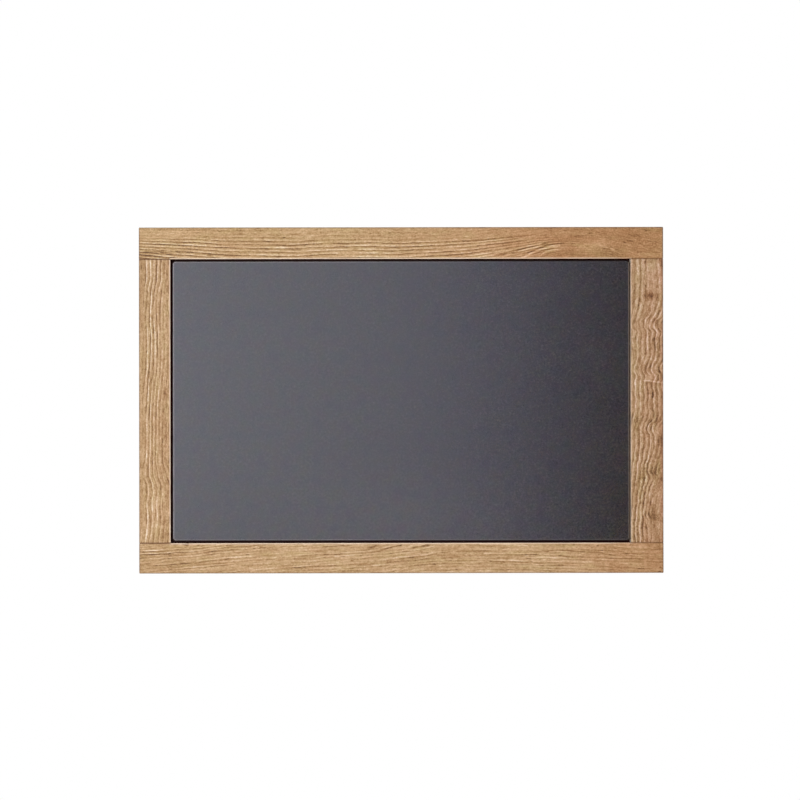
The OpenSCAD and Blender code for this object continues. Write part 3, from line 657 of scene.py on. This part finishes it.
def arris(seed, k, l, base, dents):
    """Radius of one eased edge at one place along the member, mm."""
    r = base * (1.0 + 0.30 * noise.noise(Vector((l / 38.0, seed * 3.7, k * 9.1))) + 0.16 * noise.noise(Vector((l / 9.0, seed * 1.9, k * 4.3))))
    for kk, at, size, width in dents:
        if kk == k:
            r += size * math.exp(-(((l - at) / width) ** 2))
    return max(0.15, r)


def member(name, box, along, seed, radii, end_r, dents=()):
    """A planed length of wood with hand-eased edges: radii are for the edges inner front, outer front, outer back, inner back."""
    lo, hi = box
    L = 0 if along == "X" else 2
    W = 2 if along == "X" else 0
    l0, l1 = lo[L], hi[L]
    # the inner side is the one towards the opening
    inner_low = abs(lo[W] - (CZ if along == "X" else CX)) < abs(hi[W] - (CZ if along == "X" else CX))
    w_in, w_out = (lo[W], hi[W]) if inner_low else (hi[W], lo[W])
    sg = 1 if w_out > w_in else -1
    SEG = 4
    n = int((l1 - l0) / 3.0)
    stations = [(l0 + end_r * (1 - math.cos(a)), end_r * (1 - math.sin(a))) for a in (0.0, math.pi / 8, math.pi / 4, 3 * math.pi / 8, math.pi / 2)]
    mid = [(l0 + 2 * end_r + (l1 - l0 - 4 * end_r) * i / n, 0.0) for i in range(n + 1)]
    tail = [(l0 + l1 - s[0], s[1]) for s in reversed(stations)]
    stations = stations + mid + tail
    verts, faces = [], []
    for l, inset in stations:
        # corners of the section, going round: inner front, outer front, outer back, inner back
        y0, y1 = lo[1] + inset, hi[1] - inset
        a, b = w_in + sg * inset, w_out - sg * inset
        corners = [(a, y0, 1, 1), (b, y0, -1, 1), (b, y1, -1, -1), (a, y1, 1, -1)]
        start = [180, 270, 0, 90]
        for k, (cw, cy, dw, dy) in enumerate(corners):
            r = arris(seed, k, l, radii[k], dents)
            for i in range(SEG + 1):
                th = math.radians(start[k] + 90 * i / SEG)
                pw = cw + sg * dw * r + sg * r * math.cos(th)
                py = cy + dy * r + r * math.sin(th)
                v = [0, py, 0]
                v[L], v[W] = l, pw
                verts.append(v)
    P = 4 * (SEG + 1)
    flip = (sg > 0) == (along == "X")
    for i in range(len(stations) - 1):
        for j in range(P):
            q = [i * P + j, i * P + (j + 1) % P, (i + 1) * P + (j + 1) % P, (i + 1) * P + j]
            faces.append(q if flip else q[::-1])
    first, last = list(range(P)), [(len(stations) - 1) * P + j for j in range(P)]
    faces.append(first[::-1] if flip else first)
    faces.append(last if flip else last[::-1])
    ob = from_lists(name, verts, faces)
    bm = bmesh.new()
    bm.from_mesh(ob.data)
    bmesh.ops.recalc_face_normals(bm, faces=bm.faces)
    bm.to_mesh(ob.data)
    bm.free()
    return ob


def slab_cutter(name, outline, y0, y1):
    """A closed slab between two depths, from an outline in X and Z."""
    n = len(outline)
    verts = [(x, y0, z) for x, z in outline] + [(x, y1, z) for x, z in outline]
    faces = [list(range(n)), list(range(2 * n - 1, n - 1, -1))]
    faces += [[i, n + i, n + (i + 1) % n, (i + 1) % n] for i in range(n)]
    ob = from_lists(name, verts, faces)
    bm = bmesh.new()
    bm.from_mesh(ob.data)
    bmesh.ops.recalc_face_normals(bm, faces=bm.faces)
    bm.to_mesh(ob.data)
    bm.free()
    return ob


def round_rect(l, r, b, t, rad, seg=8):
    pts = []
    for cx, cz, a0 in ((r - rad, t - rad, 0), (l + rad, t - rad, 90), (l + rad, b + rad, 180), (r - rad, b + rad, 270)):
        for i in range(seg + 1):
            a = math.radians(a0 + 90 * i / seg)
            pts.append((cx + rad * math.cos(a), cz + rad * math.sin(a)))
    return pts


def stadium(x, z0, z1, r, seg=12):
    pts = []
    for i in range(seg + 1):
        a = math.pi * i / seg
        pts.append((x + r * math.cos(a), z1 + r * math.sin(a)))
    for i in range(seg + 1):
        a = math.pi + math.pi * i / seg
        pts.append((x + r * math.cos(a), z0 + r * math.sin(a)))
    return pts


REBATE = 8.0
RADII = (0.75, 1.0, 0.7, 0.4)
rebate_outline = round_rect(OX_L - REBATE, OX_R + REBATE, OZ_B - REBATE, OZ_T + REBATE, 4.0)

members = {}
for node, box, along, seed, mat, end_r, dents in (
    ("top_rail", TOP, "X", 1, top_wood, 0.8, [(0, -118, 0.5, 2.0), (0, 92, 0.5, 2.5), (1, 207, 0.4, 4.0)]),
    ("bottom_rail", BOTTOM, "X", 2, bottom_wood, 0.8, [(0, -245, 1.1, 2.4), (0, -37, 0.9, 1.8), (1, 40, 0.5, 4.0)]),
    ("left_stile", LEFT, "Z", 3, left_wood, 0.35, [(0, -150, 0.5, 3.0)]),
    ("right_stile", RIGHT, "Z", 4, right_wood, 0.35, [(1, -72, 0.5, 3.0)]),
):
    ob = member(node + "_wood", box, along, seed, RADII, end_r, dents)
    cutters = [slab_cutter("rebate_cut", rebate_outline, -4.0, 3.0)]
    if node == "top_rail":
        for side in ("left", "right"):
            lo, hi = mm_box("hanger_plate_" + side)
            g = 0.15
            x = (lo[0] + hi[0]) / 2
            cutters.append(slab_cutter("plate_cut", round_rect(lo[0] - g, hi[0] + g, lo[2] - g, hi[2] + g, 4.15), lo[1], 3.0))
            cutters.append(slab_cutter("pocket_cut", stadium(x, 0.0, 7.5, 5.3), -8.0, lo[1] + 0.5))
    cut(ob, cutters)
    smooth(ob, 35)
    set_material(ob, mat)
    shade_gap_walls(ob, along)
    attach(ob, "frame")
    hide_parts(node)
    members[node] = ob


# ---------------------------------------------------------------- writing panel
nb = Nodes("slate_coat")
mott = nb.noise(nb.x / 60, nb.z / 60, nb.y / 60, 3, 0.55, 21)
wipe = nb.noise(nb.x / 90, nb.z / 16, nb.y / 16, 3, 0.6, 22)
grit = nb.noise(nb.x / 0.55, nb.z / 0.55, nb.y / 0.55, 2, 0.6, 23)
dust = nb.noise(nb.x / 2.6, nb.z / 2.6, nb.y / 2.6, 3, 0.7, 24)
low = nb.step(nb.z, CZ - 40, SHEET[0][2] + 10) * nb.bell(nb.x, 20, 150)
grain = nb.noise(nb.x / 1.5, nb.z / 1.5, nb.y / 1.5, 2, 0.6, 27) * nb.step(nb.x, 0, 120)
tone = 0.5 + 0.10 * mott + 0.02 * wipe + 0.24 * grit + 0.50 * grain + 0.46 * dust + 0.20 * low
colour = nb.ramp(tone, [(0.0, lin(20, 14, 13)), (0.5, lin(41, 35, 34)), (1.0, lin(66, 60, 59))])
hue_a = nb.noise(nb.x / 15, nb.z / 15, nb.y / 15, 2, 0.55, 25) * nb.step(nb.x, -260, 100, 1.5, 1.0)
hue_b = nb.noise(nb.x / 17, nb.z / 17, nb.y / 17, 2, 0.55, 26) * nb.step(nb.x, -260, 100, 1.5, 1.0)
colour = nb.mix(nb.lerp(hue_a, 0.0, 0.6, 0.0, 1.0), colour, lin(255, 221, 247), "MULTIPLY")
colour = nb.mix(nb.lerp(hue_a, 0.0, -0.6, 0.0, 1.0), colour, lin(221, 255, 238), "MULTIPLY")
colour = nb.mix(nb.lerp(hue_b, 0.0, 0.6, 0.0, 1.0), colour, lin(255, 255, 207), "MULTIPLY")
colour = nb.mix(nb.lerp(hue_b, 0.0, -0.6, 0.0, 1.0), colour, lin(223, 223, 255), "MULTIPLY")
# painted light: a warm cast towards the right of the panel, lower down
colour = nb.mix(nb.step(nb.x, 190, 262) * nb.step(nb.z, CZ + 60, CZ - 110), colour, lin(253, 240, 205), "MULTIPLY")
# a pale painted highlight on the rolled edge, strongest on the left, fading to the right and a little stronger along
# the bottom
side_x = nb.max(4.0 - nb.min(nb.x - SHEET[0][0], SHEET[1][0] - nb.x), 0.0)
side_z = nb.max(4.0 - nb.min(nb.z - SHEET[0][2], SHEET[1][2] - nb.z), 0.0)
rim = 4.0 - nb.sqrt(side_x * side_x + side_z * side_z)
rim_highlight = nb.step(nb.x, SHEET[0][0] + 2, SHEET[0][0] + 7, 1.0, 0.58) * nb.step(nb.x, SHEET[1][0] - 7, SHEET[1][0] - 2, 1.0, 0.25) * nb.max(nb.max(nb.step(nb.x, -90, 190, 1.0, 0.15), nb.step(nb.x, -90, 190, 1.0, 0.46) * nb.step(nb.z, SHEET[0][2] + 6, SHEET[0][2] + 3)), nb.step(nb.x, SHEET[1][0] - 7, SHEET[1][0] - 2))
front = nb.step(nb.y, SHEET[0][1] + 1.6, SHEET[0][1] + 0.6)
colour = nb.mix(nb.bell(rim, 1.35, 0.62) * front * rim_highlight * (0.46 + 0.2 * wipe), colour, lin(168, 156, 156))
# painted light: pale warm light thrown onto the outermost right edge from the lit wall beside it
colour = nb.mix(nb.step(SHEET[1][0] - nb.x, 1.1, 0.4) * 0.8, colour, lin(166, 146, 126))
rough = 0.22 + 0.012 * mott + 0.004 * wipe + 0.03 * grit + 0.012 * dust
SLATE = nb.surface(colour, rough, nb.bump(0.6 * grit + 0.3 * dust, 0.00004, 0.6), specular=0.5)
nb.bsdf.inputs["Specular Tint"].default_value = (0.82, 0.86, 1.0, 1.0)


def folded_sheet(name, box, corner, edge, thick):
    """A flat sheet with round corners, its rim rolled back into a flange."""
    lo, hi = box
    y0, y1 = lo[1], hi[1]
    rings = []  # (inset of the outline, depth)
    for i in range(7):
        a = math.pi / 2 * i / 6
        rings.append((edge * (1 - math.sin(a)), y0 + edge * (1 - math.cos(a))))
    rings.append((0.0, y1))
    rings.append((thick, y1))
    rings.append((thick, y0 + thick))
    SEG = 10
    verts, faces = [], []

    def ring(inset, y):
        r = max(corner - inset, 0.4)
        for x, z in round_rect(lo[0] + inset, hi[0] - inset, lo[2] + inset, hi[2] - inset, r, SEG):
            verts.append((x, y, z))

    for inset, y in rings:
        ring(inset, y)
    n = 4 * (SEG + 1)
    for k in range(len(rings) - 1):
        for j in range(n):
            faces.append([k * n + j, k * n + (j + 1) % n, (k + 1) * n + (j + 1) % n, (k + 1) * n + j])
    faces.append(list(range(n)))
    faces.append([(len(rings) - 1) * n + j for j in range(n)][::-1])
    ob = from_lists(name, verts, faces)
    bm = bmesh.new()
    bm.from_mesh(ob.data)
    bmesh.ops.recalc_face_normals(bm, faces=bm.faces)
    bm.to_mesh(ob.data)
    bm.free()
    return ob


panel = folded_sheet("chalkboard_panel", SHEET, 4.0, 1.5, 0.8)
smooth(panel, 50)
set_material(panel, SLATE)
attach(panel, "frame")
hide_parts("chalkboard_sheet")


# ---------------------------------------------------------------- back board, core, dowels
nb = Nodes("plywood")
pins = [(-142.0, -118.0, 7.0), (171.0, -268.0, 6.0), (34.0, -205.0, -5.0)]  # pin knots: x, z, how far they push the rings
u = nb.z + 46 * nb.noise(nb.x / 260, nb.z / 80, nb.y * 0, 1, 0.5, 31) + 7 * nb.noise(nb.x / 75, nb.z / 26, nb.y * 0, 2, 0.55, 36)
core = None
for kx, kz, push in pins:
    u = u + push * mark(nb, nb.x, nb.z, (kx, kz), (22.0, 9.0))
    c = mark(nb, nb.x, nb.z, (kx, kz), (2.6, 1.7))
    core = c if core is None else core + c
u = (u + 0.8 * nb.noise(nb.x / 26, nb.z / 5, nb.y * 0, 2, 0.6, 32)) / 10.0
k = nb.floor(u)
f = nb.frac(u)
# rotary-cut veneer: each ring darkens slowly and ends in a thin late-wood line
rings = nb.levels(f, [(0.0, 0.30), (0.04, 0.80), (0.40, 0.72), (0.78, 0.50), (0.93, 0.22), (1.0, 0.10)])
fib = nb.noise(nb.x / 40, nb.z / 1.3, nb.y / 1.3, 3, 0.65, 33)
fine = nb.noise(nb.x / 14, nb.z / 0.45, nb.y / 0.45, 2, 0.6, 37)
por = nb.step(nb.noise(nb.x / 9, nb.z / 1.0, nb.y / 1.0, 1, 0.5, 34), 0.42, 0.80)
blot = nb.noise(nb.x / 90, nb.z / 60, nb.y * 0, 2, 0.5, 35)
ray = nb.noise(nb.x / 5, nb.z / 4, nb.y * 0, 2, 0.6, 38)
s = 0.56 + 0.56 * (0.30 + 0.70 * nb.chance(k, 0.4)) * (rings - 0.62) + 0.14 * fib + 0.05 * fine + 0.07 * blot + 0.03 * ray - 0.22 * por - 0.55 * core
colour = nb.ramp(s, [(0.0, lin(120, 82, 50)), (0.25, lin(172, 130, 86)), (0.5, lin(205, 168, 121)), (0.75, lin(221, 189, 145)), (1.0, lin(233, 207, 168))])
# painted shade: the side that faces the panel is coloured dark red-brown so that the gap reads as shadow and nothing
# pale shows in it
colour = nb.mix(nb.step(nb.y, -3.4, -3.7), colour, lin(60, 14, 5))
PLY = nb.surface(colour, 0.60 + 0.06 * fib + 0.05 * por, nb.bump(0.3 * fib + 0.2 * fine - 0.8 * por + 0.4 * rings, 0.0002, 0.7), specular=0.3)

nb = Nodes("fibreboard")
g = nb.noise(nb.x / 1.4, nb.z / 1.4, nb.y / 1.4, 3, 0.7, 41)
colour = nb.ramp(0.5 + 0.3 * g, [(0.0, lin(96, 72, 50)), (0.5, lin(128, 98, 70)), (1.0, lin(160, 128, 94))])
MDF = nb.surface(colour, 0.8 + 0.05 * g, nb.bump(g, 0.0001, 0.5), specular=0.2)

nb = Nodes("dowel_wood")
g = nb.noise(nb.z / 9, nb.x / 0.6, nb.y / 0.6, 3, 0.6, 43)
colour = nb.ramp(0.5 + 0.3 * g, [(0.0, lin(176, 134, 92)), (0.5, lin(204, 164, 118)), (1.0, lin(222, 188, 146))])
BEECH = nb.surface(colour, 0.6 + 0.05 * g, nb.bump(g, 0.0001, 0.5), specular=0.3)

# ---------------------------------------------------------------- hardware
nb = Nodes("zinc_steel")
g1 = nb.noise(nb.x / 4, nb.z / 4, nb.y / 4, 4, 0.6, 51)
g2 = nb.noise(nb.x / 0.5, nb.z / 0.5, nb.y / 0.5, 2, 0.6, 52)
line = nb.noise(nb.x / 7, nb.z / 0.16, nb.y / 0.16, 2, 0.6, 54)
spot = nb.step(nb.noise(nb.x / 1.6, nb.z / 1.6, nb.y / 1.6, 2, 0.6, 53), 0.60, 0.95)
colour = nb.ramp(0.5 + 0.22 * g1 + 0.08 * g2 + 0.06 * line, [(0.0, lin(104, 105, 104)), (0.5, lin(143, 144, 144)), (1.0, lin(176, 177, 178))])
colour = nb.mix(0.30 * spot, colour, lin(122, 114, 102))
ZINC = nb.surface(colour, 0.33 + 0.05 * g1 + 0.03 * g2 + 0.05 * line + 0.10 * spot, nb.bump(0.6 * g2 + 0.4 * line, 0.00003, 0.5), metallic=1.0)

nb = Nodes("black_rubber")
g = nb.noise(nb.x / 0.8, nb.z / 0.8, nb.y / 0.8, 3, 0.6, 61)
colour = nb.ramp(0.5 + 0.3 * g, [(0.0, lin(24, 24, 25)), (0.5, lin(33, 33, 34)), (1.0, lin(46, 45, 45))])
RUBBER = nb.surface(colour, 0.72 + 0.06 * g, nb.bump(g, 0.00006, 0.5), specular=0.4)



def moved_in(pts, d):
    """A closed loop of (x, z) points moved by d to the left of its direction, which is into the piece."""
    out = []
    for k, (x, z) in enumerate(pts):
        a = Vector((x - pts[k - 1][0], z - pts[k - 1][1])).normalized()
        b = Vector((pts[(k + 1) % len(pts)][0] - x, pts[(k + 1) % len(pts)][1] - z)).normalized()
        m = Vector((-a.y - b.y, a.x + b.x))
        m = m * (2.0 / max(m.length_squared, 0.6))
        out.append((x + d * m.x, z + d * m.y))
    return out


def eased(y0, y1, r0, r1, seg=4):
    """Steps (distance into the piece, depth) up a wall from y0 to y1 with a rounded edge at each end."""
    q = [math.pi / 2 * k / seg for k in range(seg + 1)]
    return [(r0 * (1 - math.sin(a)), y0 + r0 * (1 - math.cos(a))) for a in q] + [(r1 * (1 - math.sin(a)), y1 - r1 * (1 - math.cos(a))) for a in reversed(q)]


def plate(name, loops):
    """A flat piece with holes. Each loop is (points, steps): the outline first, anticlockwise, then the holes, clockwise."""
    bm = bmesh.new()
    ends = ([], [])
    for pts, steps in loops:
        n = len(pts)
        rings = [[bm.verts.new((x * MM, y * MM, z * MM)) for x, z in moved_in(pts, d)] for d, y in steps]
        for a, b in zip(rings, rings[1:]):
            for k in range(n):
                bm.faces.new((a[k], a[(k + 1) % n], b[(k + 1) % n], b[k]))
        for which, ring in ((0, rings[0]), (1, rings[-1])):
            ends[which].extend(bm.edges.get((ring[k], ring[(k + 1) % n])) for k in range(n))
    for edges in ends:
        bmesh.ops.triangle_fill(bm, use_beauty=True, use_dissolve=False, edges=edges)
    bmesh.ops.recalc_face_normals(bm, faces=bm.faces)
    me = bpy.data.meshes.new(name)
    bm.to_mesh(me)
    bm.free()
    return new_object(name, me)


def circle(x, z, r, n=32):
    """Points round a circle, clockwise, as a hole."""
    return [(x + r * math.cos(-2 * math.pi * k / n), z + r * math.sin(-2 * math.pi * k / n)) for k in range(n)]


def lathe(name, profile, seg=36):
    """A turned piece along Y from (radius, depth) points. It starts and ends on the axis."""
    bm = bmesh.new()
    rings = []
    for r, y in profile:
        if r == 0:
            rings.append([bm.verts.new((0, y * MM, 0))])
        else:
            rings.append([bm.verts.new((r * MM * math.cos(2 * math.pi * k / seg), y * MM, r * MM * math.sin(2 * math.pi * k / seg))) for k in range(seg)])
    for a, b in zip(rings, rings[1:]):
        for k in range(seg):
            q = [a[k % len(a)], a[(k + 1) % len(a)], b[(k + 1) % len(b)], b[k % len(b)]]
            bm.faces.new(list(dict.fromkeys(q)))
    bmesh.ops.recalc_face_normals(bm, faces=bm.faces)
    me = bpy.data.meshes.new(name)
    bm.to_mesh(me)
    bm.free()
    return new_object(name, me)


def cross_bar(top, depth, turned):
    """One tapered bar of a cross recess."""
    verts, faces = [], [[0, 1, 2, 3], [7, 6, 5, 4], [0, 4, 5, 1], [1, 5, 6, 2], [2, 6, 7, 3], [3, 7, 4, 0]]
    for y, length, width in ((top + 0.2, 1.92, 0.44), (top - depth, 0.85, 0.30)):
        for a, b in ((-1, -1), (1, -1), (1, 1), (-1, 1)):
            v = (a * length, b * width) if not turned else (-b * width, a * length)
            verts.append((v[0], y, v[1]))
    ob = from_lists("recess", verts, faces)
    bm = bmesh.new()
    bm.from_mesh(ob.data)
    bmesh.ops.recalc_face_normals(bm, faces=bm.faces)
    bm.to_mesh(ob.data)
    bm.free()
    return ob


def copies(name, first, places):
    """One piece of many like solids. places are (x, y, z, turn about Y in degrees)."""
    bm = bmesh.new()
    for x, y, z, turn in places:
        n = len(bm.verts)
        bm.from_mesh(first.data)
        bm.verts.ensure_lookup_table()
        c, q = math.cos(math.radians(turn)), math.sin(math.radians(turn))
        for v in bm.verts[n:]:
            v.co = (v.co.x * c + v.co.z * q + x * MM, v.co.y + y * MM, -v.co.x * q + v.co.z * c + z * MM)
    me = bpy.data.meshes.new(name)
    bm.to_mesh(me)
    bm.free()
    old = first.data
    bpy.data.objects.remove(first)
    bpy.data.meshes.remove(old)
    return new_object(name, me)


def finish_piece(ob, node, body, mat, angle=35):
    smooth(ob, angle)
    set_material(ob, mat)
    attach(ob, body)
    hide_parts(node)


# where the screws sit, from the boxes of the nodes that they hold
lo, hi = SHEET
INSET = 28.0
xs = (lo[0] + INSET, (lo[0] + hi[0]) / 2, hi[0] - INSET)
zs = (lo[2] + INSET, (lo[2] + hi[2]) / 2, hi[2] - INSET)
core_at = [(x, z) for z in reversed(zs) for x in xs if (x, z) != (xs[1], zs[1])]
SCREW_R, HEAD_R = 1.75, 3.5

# back board: thin plywood with countersunk holes
lo, hi = BACK
sunk = lambda y_front: [(0.0, y_front), (0.0, -1.8), (1.72, -0.08), (1.9, 0.0)]
board = plate("back_board_ply", [(round_rect(lo[0], hi[0], lo[2], hi[2], 3.75, 8), eased(lo[1], hi[1], 0.3, 0.45))] + [(circle(x, z, 1.8), sunk(lo[1])) for x, z in core_at])
finish_piece(board, "back_board", "frame", PLY)

# countersunk screws
FLAT = [(0, -0.05), (1.6, -0.05), (3.1, -0.06), (3.32, -0.12), (3.38, -0.22), (1.82, -1.70), (SCREW_R, -1.95)]


def flat_screw(name, length):
    ob = lathe(name, FLAT + [(SCREW_R, -(length - 3.0)), (0.6, -(length - 0.6)), (0, -length)])
    cut(ob, [cross_bar(-0.05, 1.25, False), cross_bar(-0.05, 1.25, True)])
    return ob


turns = (12, 57, 31, 78, 5, 66, 40, 22)
screws = copies("core_screws_steel", flat_screw("core_screw", 12.0), [(x, 0, z, a) for (x, z), a in zip(core_at, turns)])
finish_piece(screws, "core_screws", "frame", ZINC, 30)

plates_at = []
for side in ("left", "right"):
    lo, hi = mm_box("hanger_plate_" + side)
    x, z = (lo[0] + hi[0]) / 2, (lo[2] + hi[2]) / 2
    plates_at.append((x, z))
    key = [(2.3, 3.87 + 3.63 * k / 4) for k in range(4)] + [(2.3 * math.cos(math.pi * k / 14), 7.5 + 2.3 * math.sin(math.pi * k / 14)) for k in range(15)]
    key += [(-2.3, 7.5 - 3.63 * k / 4) for k in range(1, 5)]
    a0, a1 = math.radians(120.74), math.radians(360 + 59.26)
    key += [(4.5 * math.cos(a0 + (a1 - a0) * k / 30), 4.5 * math.sin(a0 + (a1 - a0) * k / 30)) for k in range(1, 30)]
    key = [(x + a, b) for a, b in reversed(key)]
    loops = [(round_rect(lo[0], hi[0], lo[2], hi[2], 4.0, 8), eased(lo[1], hi[1], 0.15, 0.35)), (key, eased(lo[1], hi[1], 0.15, 0.30))]
    loops += [(circle(x + d, z, 1.8), sunk(lo[1])) for d in (-15.5, 15.5)]
    ob = plate("hanger_plate_%s_steel" % side, loops)
    finish_piece(ob, "hanger_plate_" + side, "frame", ZINC, 30)
screws = copies("hanger_screws_steel", flat_screw("hanger_screw", 14.0), [(x + d, 0, z, a) for (x, z), pair in zip(plates_at, ((15, 70), (48, 33))) for d, a in zip((-15.5, 15.5), pair)])
finish_piece(screws, "hanger_screws", "frame", ZINC, 30)

# turn buttons, each on its own pivot, and their pan head screws
pivots = []
for name in ("top_left", "top_right", "bottom_left", "bottom_right", "left", "right"):
    node = "turn_button_" + name
    lo, hi = mm_box(node)
    way = {"top": (0, -1), "bottom": (0, 1), "left": (1, 0), "right": (-1, 0)}[name.split("_")[0]]
    # the pivot is 6 mm in from the round end
    px = (lo[0] + hi[0]) / 2 if way[0] == 0 else (lo[0] + 6.0 if way[0] > 0 else hi[0] - 6.0)
    pz = (lo[2] + hi[2]) / 2 if way[1] == 0 else (lo[2] + 6.0 if way[1] > 0 else hi[2] - 6.0)
    pivots.append((px, pz))
    phi = math.acos((6.0 - 4.5) / 12.0)
    line = [(12.0 + 4.5 * math.cos(-phi + 2 * phi * k / 16), 4.5 * math.sin(-phi + 2 * phi * k / 16)) for k in range(17)]
    line += [(6.0 * math.cos(phi + (2 * math.pi - 2 * phi) * k / 28), 6.0 * math.sin(phi + (2 * math.pi - 2 * phi) * k / 28)) for k in range(29)]
    outline = [(px + a * way[0] - b * way[1], pz + a * way[1] + b * way[0]) for a, b in line]
    ob = plate(node + "_steel", [(outline, eased(lo[1], hi[1], 0.15, 0.4)), (circle(px, pz, 2.0), eased(lo[1], hi[1], 0.1, 0.2, 3))])
    finish_piece(ob, node, node, ZINC)

lo, hi = mm_box("turn_button_screws")
under = hi[1] - 2.0
PAN = [(0, 2.0), (1.3, 1.98), (2.05, 1.90), (2.65, 1.70), (3.10, 1.36), (3.38, 0.92), (3.48, 0.48), (3.48, 0.18), (3.36, 0.02), (3.2, 0.0), (SCREW_R, 0.0), (SCREW_R, -11.0), (0.6, -13.4), (0, -14.0)]
pan = lathe("pan_screw", PAN)
cut(pan, [cross_bar(2.0, 1.35, False), cross_bar(2.0, 1.35, True)])
screws = copies("turn_button_screws_steel", pan, [(x, under, z, a) for (x, z), a in zip(pivots, (20, 63, 8, 49, 35, 81))])
finish_piece(screws, "turn_button_screws", "frame", ZINC, 40)

# rubber feet
lo, hi = mm_box("wall_bumpers")
R = 6.0
FOOT = [(0, 0), (R - 0.4, 0), (R - 0.1, 0.12), (R, 0.4)] + [(R - 0.25, 2.6)]
FOOT += [(R - 0.25 - 1.7 + 1.7 * math.cos(math.pi / 2 * k / 7), 3.3 + 1.7 * math.sin(math.pi / 2 * k / 7)) for k in range(8)]
FOOT += [(2.6, 5.0), (2.2, 4.86), (0, 4.82)]
feet = copies("wall_bumpers_rubber", lathe("foot", FOOT, 48), [(x, 0, z, 0) for x in (lo[0] + R, hi[0] - R) for z in (lo[2] + R, hi[2] - R)])
finish_piece(feet, "wall_bumpers", "frame", RUBBER, 40)

# inside pieces keep the shape that they have
for node, mat in (("board_core", MDF), ("corner_dowels", BEECH)):
    set_material(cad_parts[node], mat)


# ---------------------------------------------------------------- floor, light, camera
me = bpy.data.meshes.new("floor")
me.from_pydata([(-1.3, -0.9, -0.72), (1.3, -0.9, -0.72), (1.3, 0.22, -0.72), (-1.3, 0.22, -0.72)], [], [[0, 1, 2, 3]])
floor = new_object("floor", me)
nb = Nodes("floor_pale")
g = nb.noise(nb.x / 30, nb.y / 30, nb.z / 30, 2, 0.5, 71)
set_material(floor, nb.surface(nb.ramp(0.5 + 0.3 * g, [(0.0, (0.78, 0.78, 0.78)), (1.0, (0.84, 0.84, 0.83))]), 0.8))

world = bpy.data.worlds.new("studio")
scene.world = world
world.use_nodes = True
nt = world.node_tree
nt.nodes.clear()
out = nt.nodes.new("ShaderNodeOutputWorld")
mixer = nt.nodes.new("ShaderNodeMixShader")
path = nt.nodes.new("ShaderNodeLightPath")
soft = nt.nodes.new("ShaderNodeBackground")
soft.inputs["Color"].default_value = (1.0, 0.96, 0.93, 1.0)
soft.inputs["Strength"].default_value = 0.13
white = nt.nodes.new("ShaderNodeBackground")
white.inputs["Color"].default_value = (1, 1, 1, 1)
white.inputs["Strength"].default_value = 1.0
nt.links.new(path.outputs["Is Camera Ray"], mixer.inputs[0])
nt.links.new(soft.outputs[0], mixer.inputs[1])
nt.links.new(white.outputs[0], mixer.inputs[2])
nt.links.new(mixer.outputs[0], out.inputs["Surface"])


def area(name, at, aim, sx, sy, watts, colour=(1, 1, 1)):
    d = bpy.data.lights.new(name, "AREA")
    d.shape = "RECTANGLE"
    d.size, d.size_y = sx, sy
    d.energy = watts
    d.color = colour
    ob = bpy.data.objects.new(name, d)
    scene.collection.objects.link(ob)
    ob.location = at
    ob.rotation_euler = (Vector(aim) - Vector(at)).to_track_quat("-Z", "Y").to_euler()
    ob.visible_camera = False
    return ob


centre = Vector((CX * MM, Y_FRONT * MM, CZ * MM))
# a wide soft box behind the camera and to its left, brightest at the left
for i, (xa, xb, radiance) in enumerate(((-1.9, -1.2, 3.4), (-1.2, -0.7, 4.6), (-0.7, -0.4, 3.4), (-0.4, -0.1, 3.2), (-0.1, 0.15, 2.65), (0.15, 0.35, 3.0), (0.35, 0.5, 0.25))):
    h = 2.4
    at = ((xa + xb) / 2, -3.1, CZ * MM + 0.5)
    area("soft_box_%d" % i, at, (at[0], 0.0, at[2]), xb - xa, h, radiance * math.pi * (xb - xa) * h, (0.98, 0.96, 1.2) if xb == 0.35 else (1.0, 0.995, 0.99))
area("fill", (-2.2, -2.0, CZ * MM + 0.15), centre, 0.8, 1.6, 26, (1.0, 0.995, 0.985))
area("fill_right", (2.3, -1.9, CZ * MM + 0.3), centre, 0.8, 1.6, 12, (1.0, 0.995, 0.985))
area("rear", (0.5, 2.3, CZ * MM + 0.9), (0.0, 0.0, CZ * MM), 4.2, 3.0, 74)
area("side_left", (-2.4, 0.9, CZ * MM + 0.2), centre, 1.2, 1.8, 24)
area("side_right", (2.4, 0.9, CZ * MM + 0.2), centre, 1.2, 1.8, 24)
area("above", (0.0, 1.1, 1.9), centre, 2.2, 1.0, 14)

cam = bpy.data.cameras.new("camera")
cam.lens, cam.sensor_width = 85.0, 36.0
cam_ob = bpy.data.objects.new("camera", cam)
scene.collection.objects.link(cam_ob)
PX = 600.0 / 524.45  # mm at the front face for each pixel of an 800 px wide picture
cam_ob.location = ((CX - 1.18 * PX) * MM, (Y_FRONT - 800 * PX * 85.0 / 36.0) * MM, (CZ + 0.2 * PX) * MM)
cam_ob.rotation_euler = (math.radians(90), math.radians(0.08), 0)
scene.camera = cam_ob
scene.view_settings.view_transform = "Standard"
scene.view_settings.look = "None"
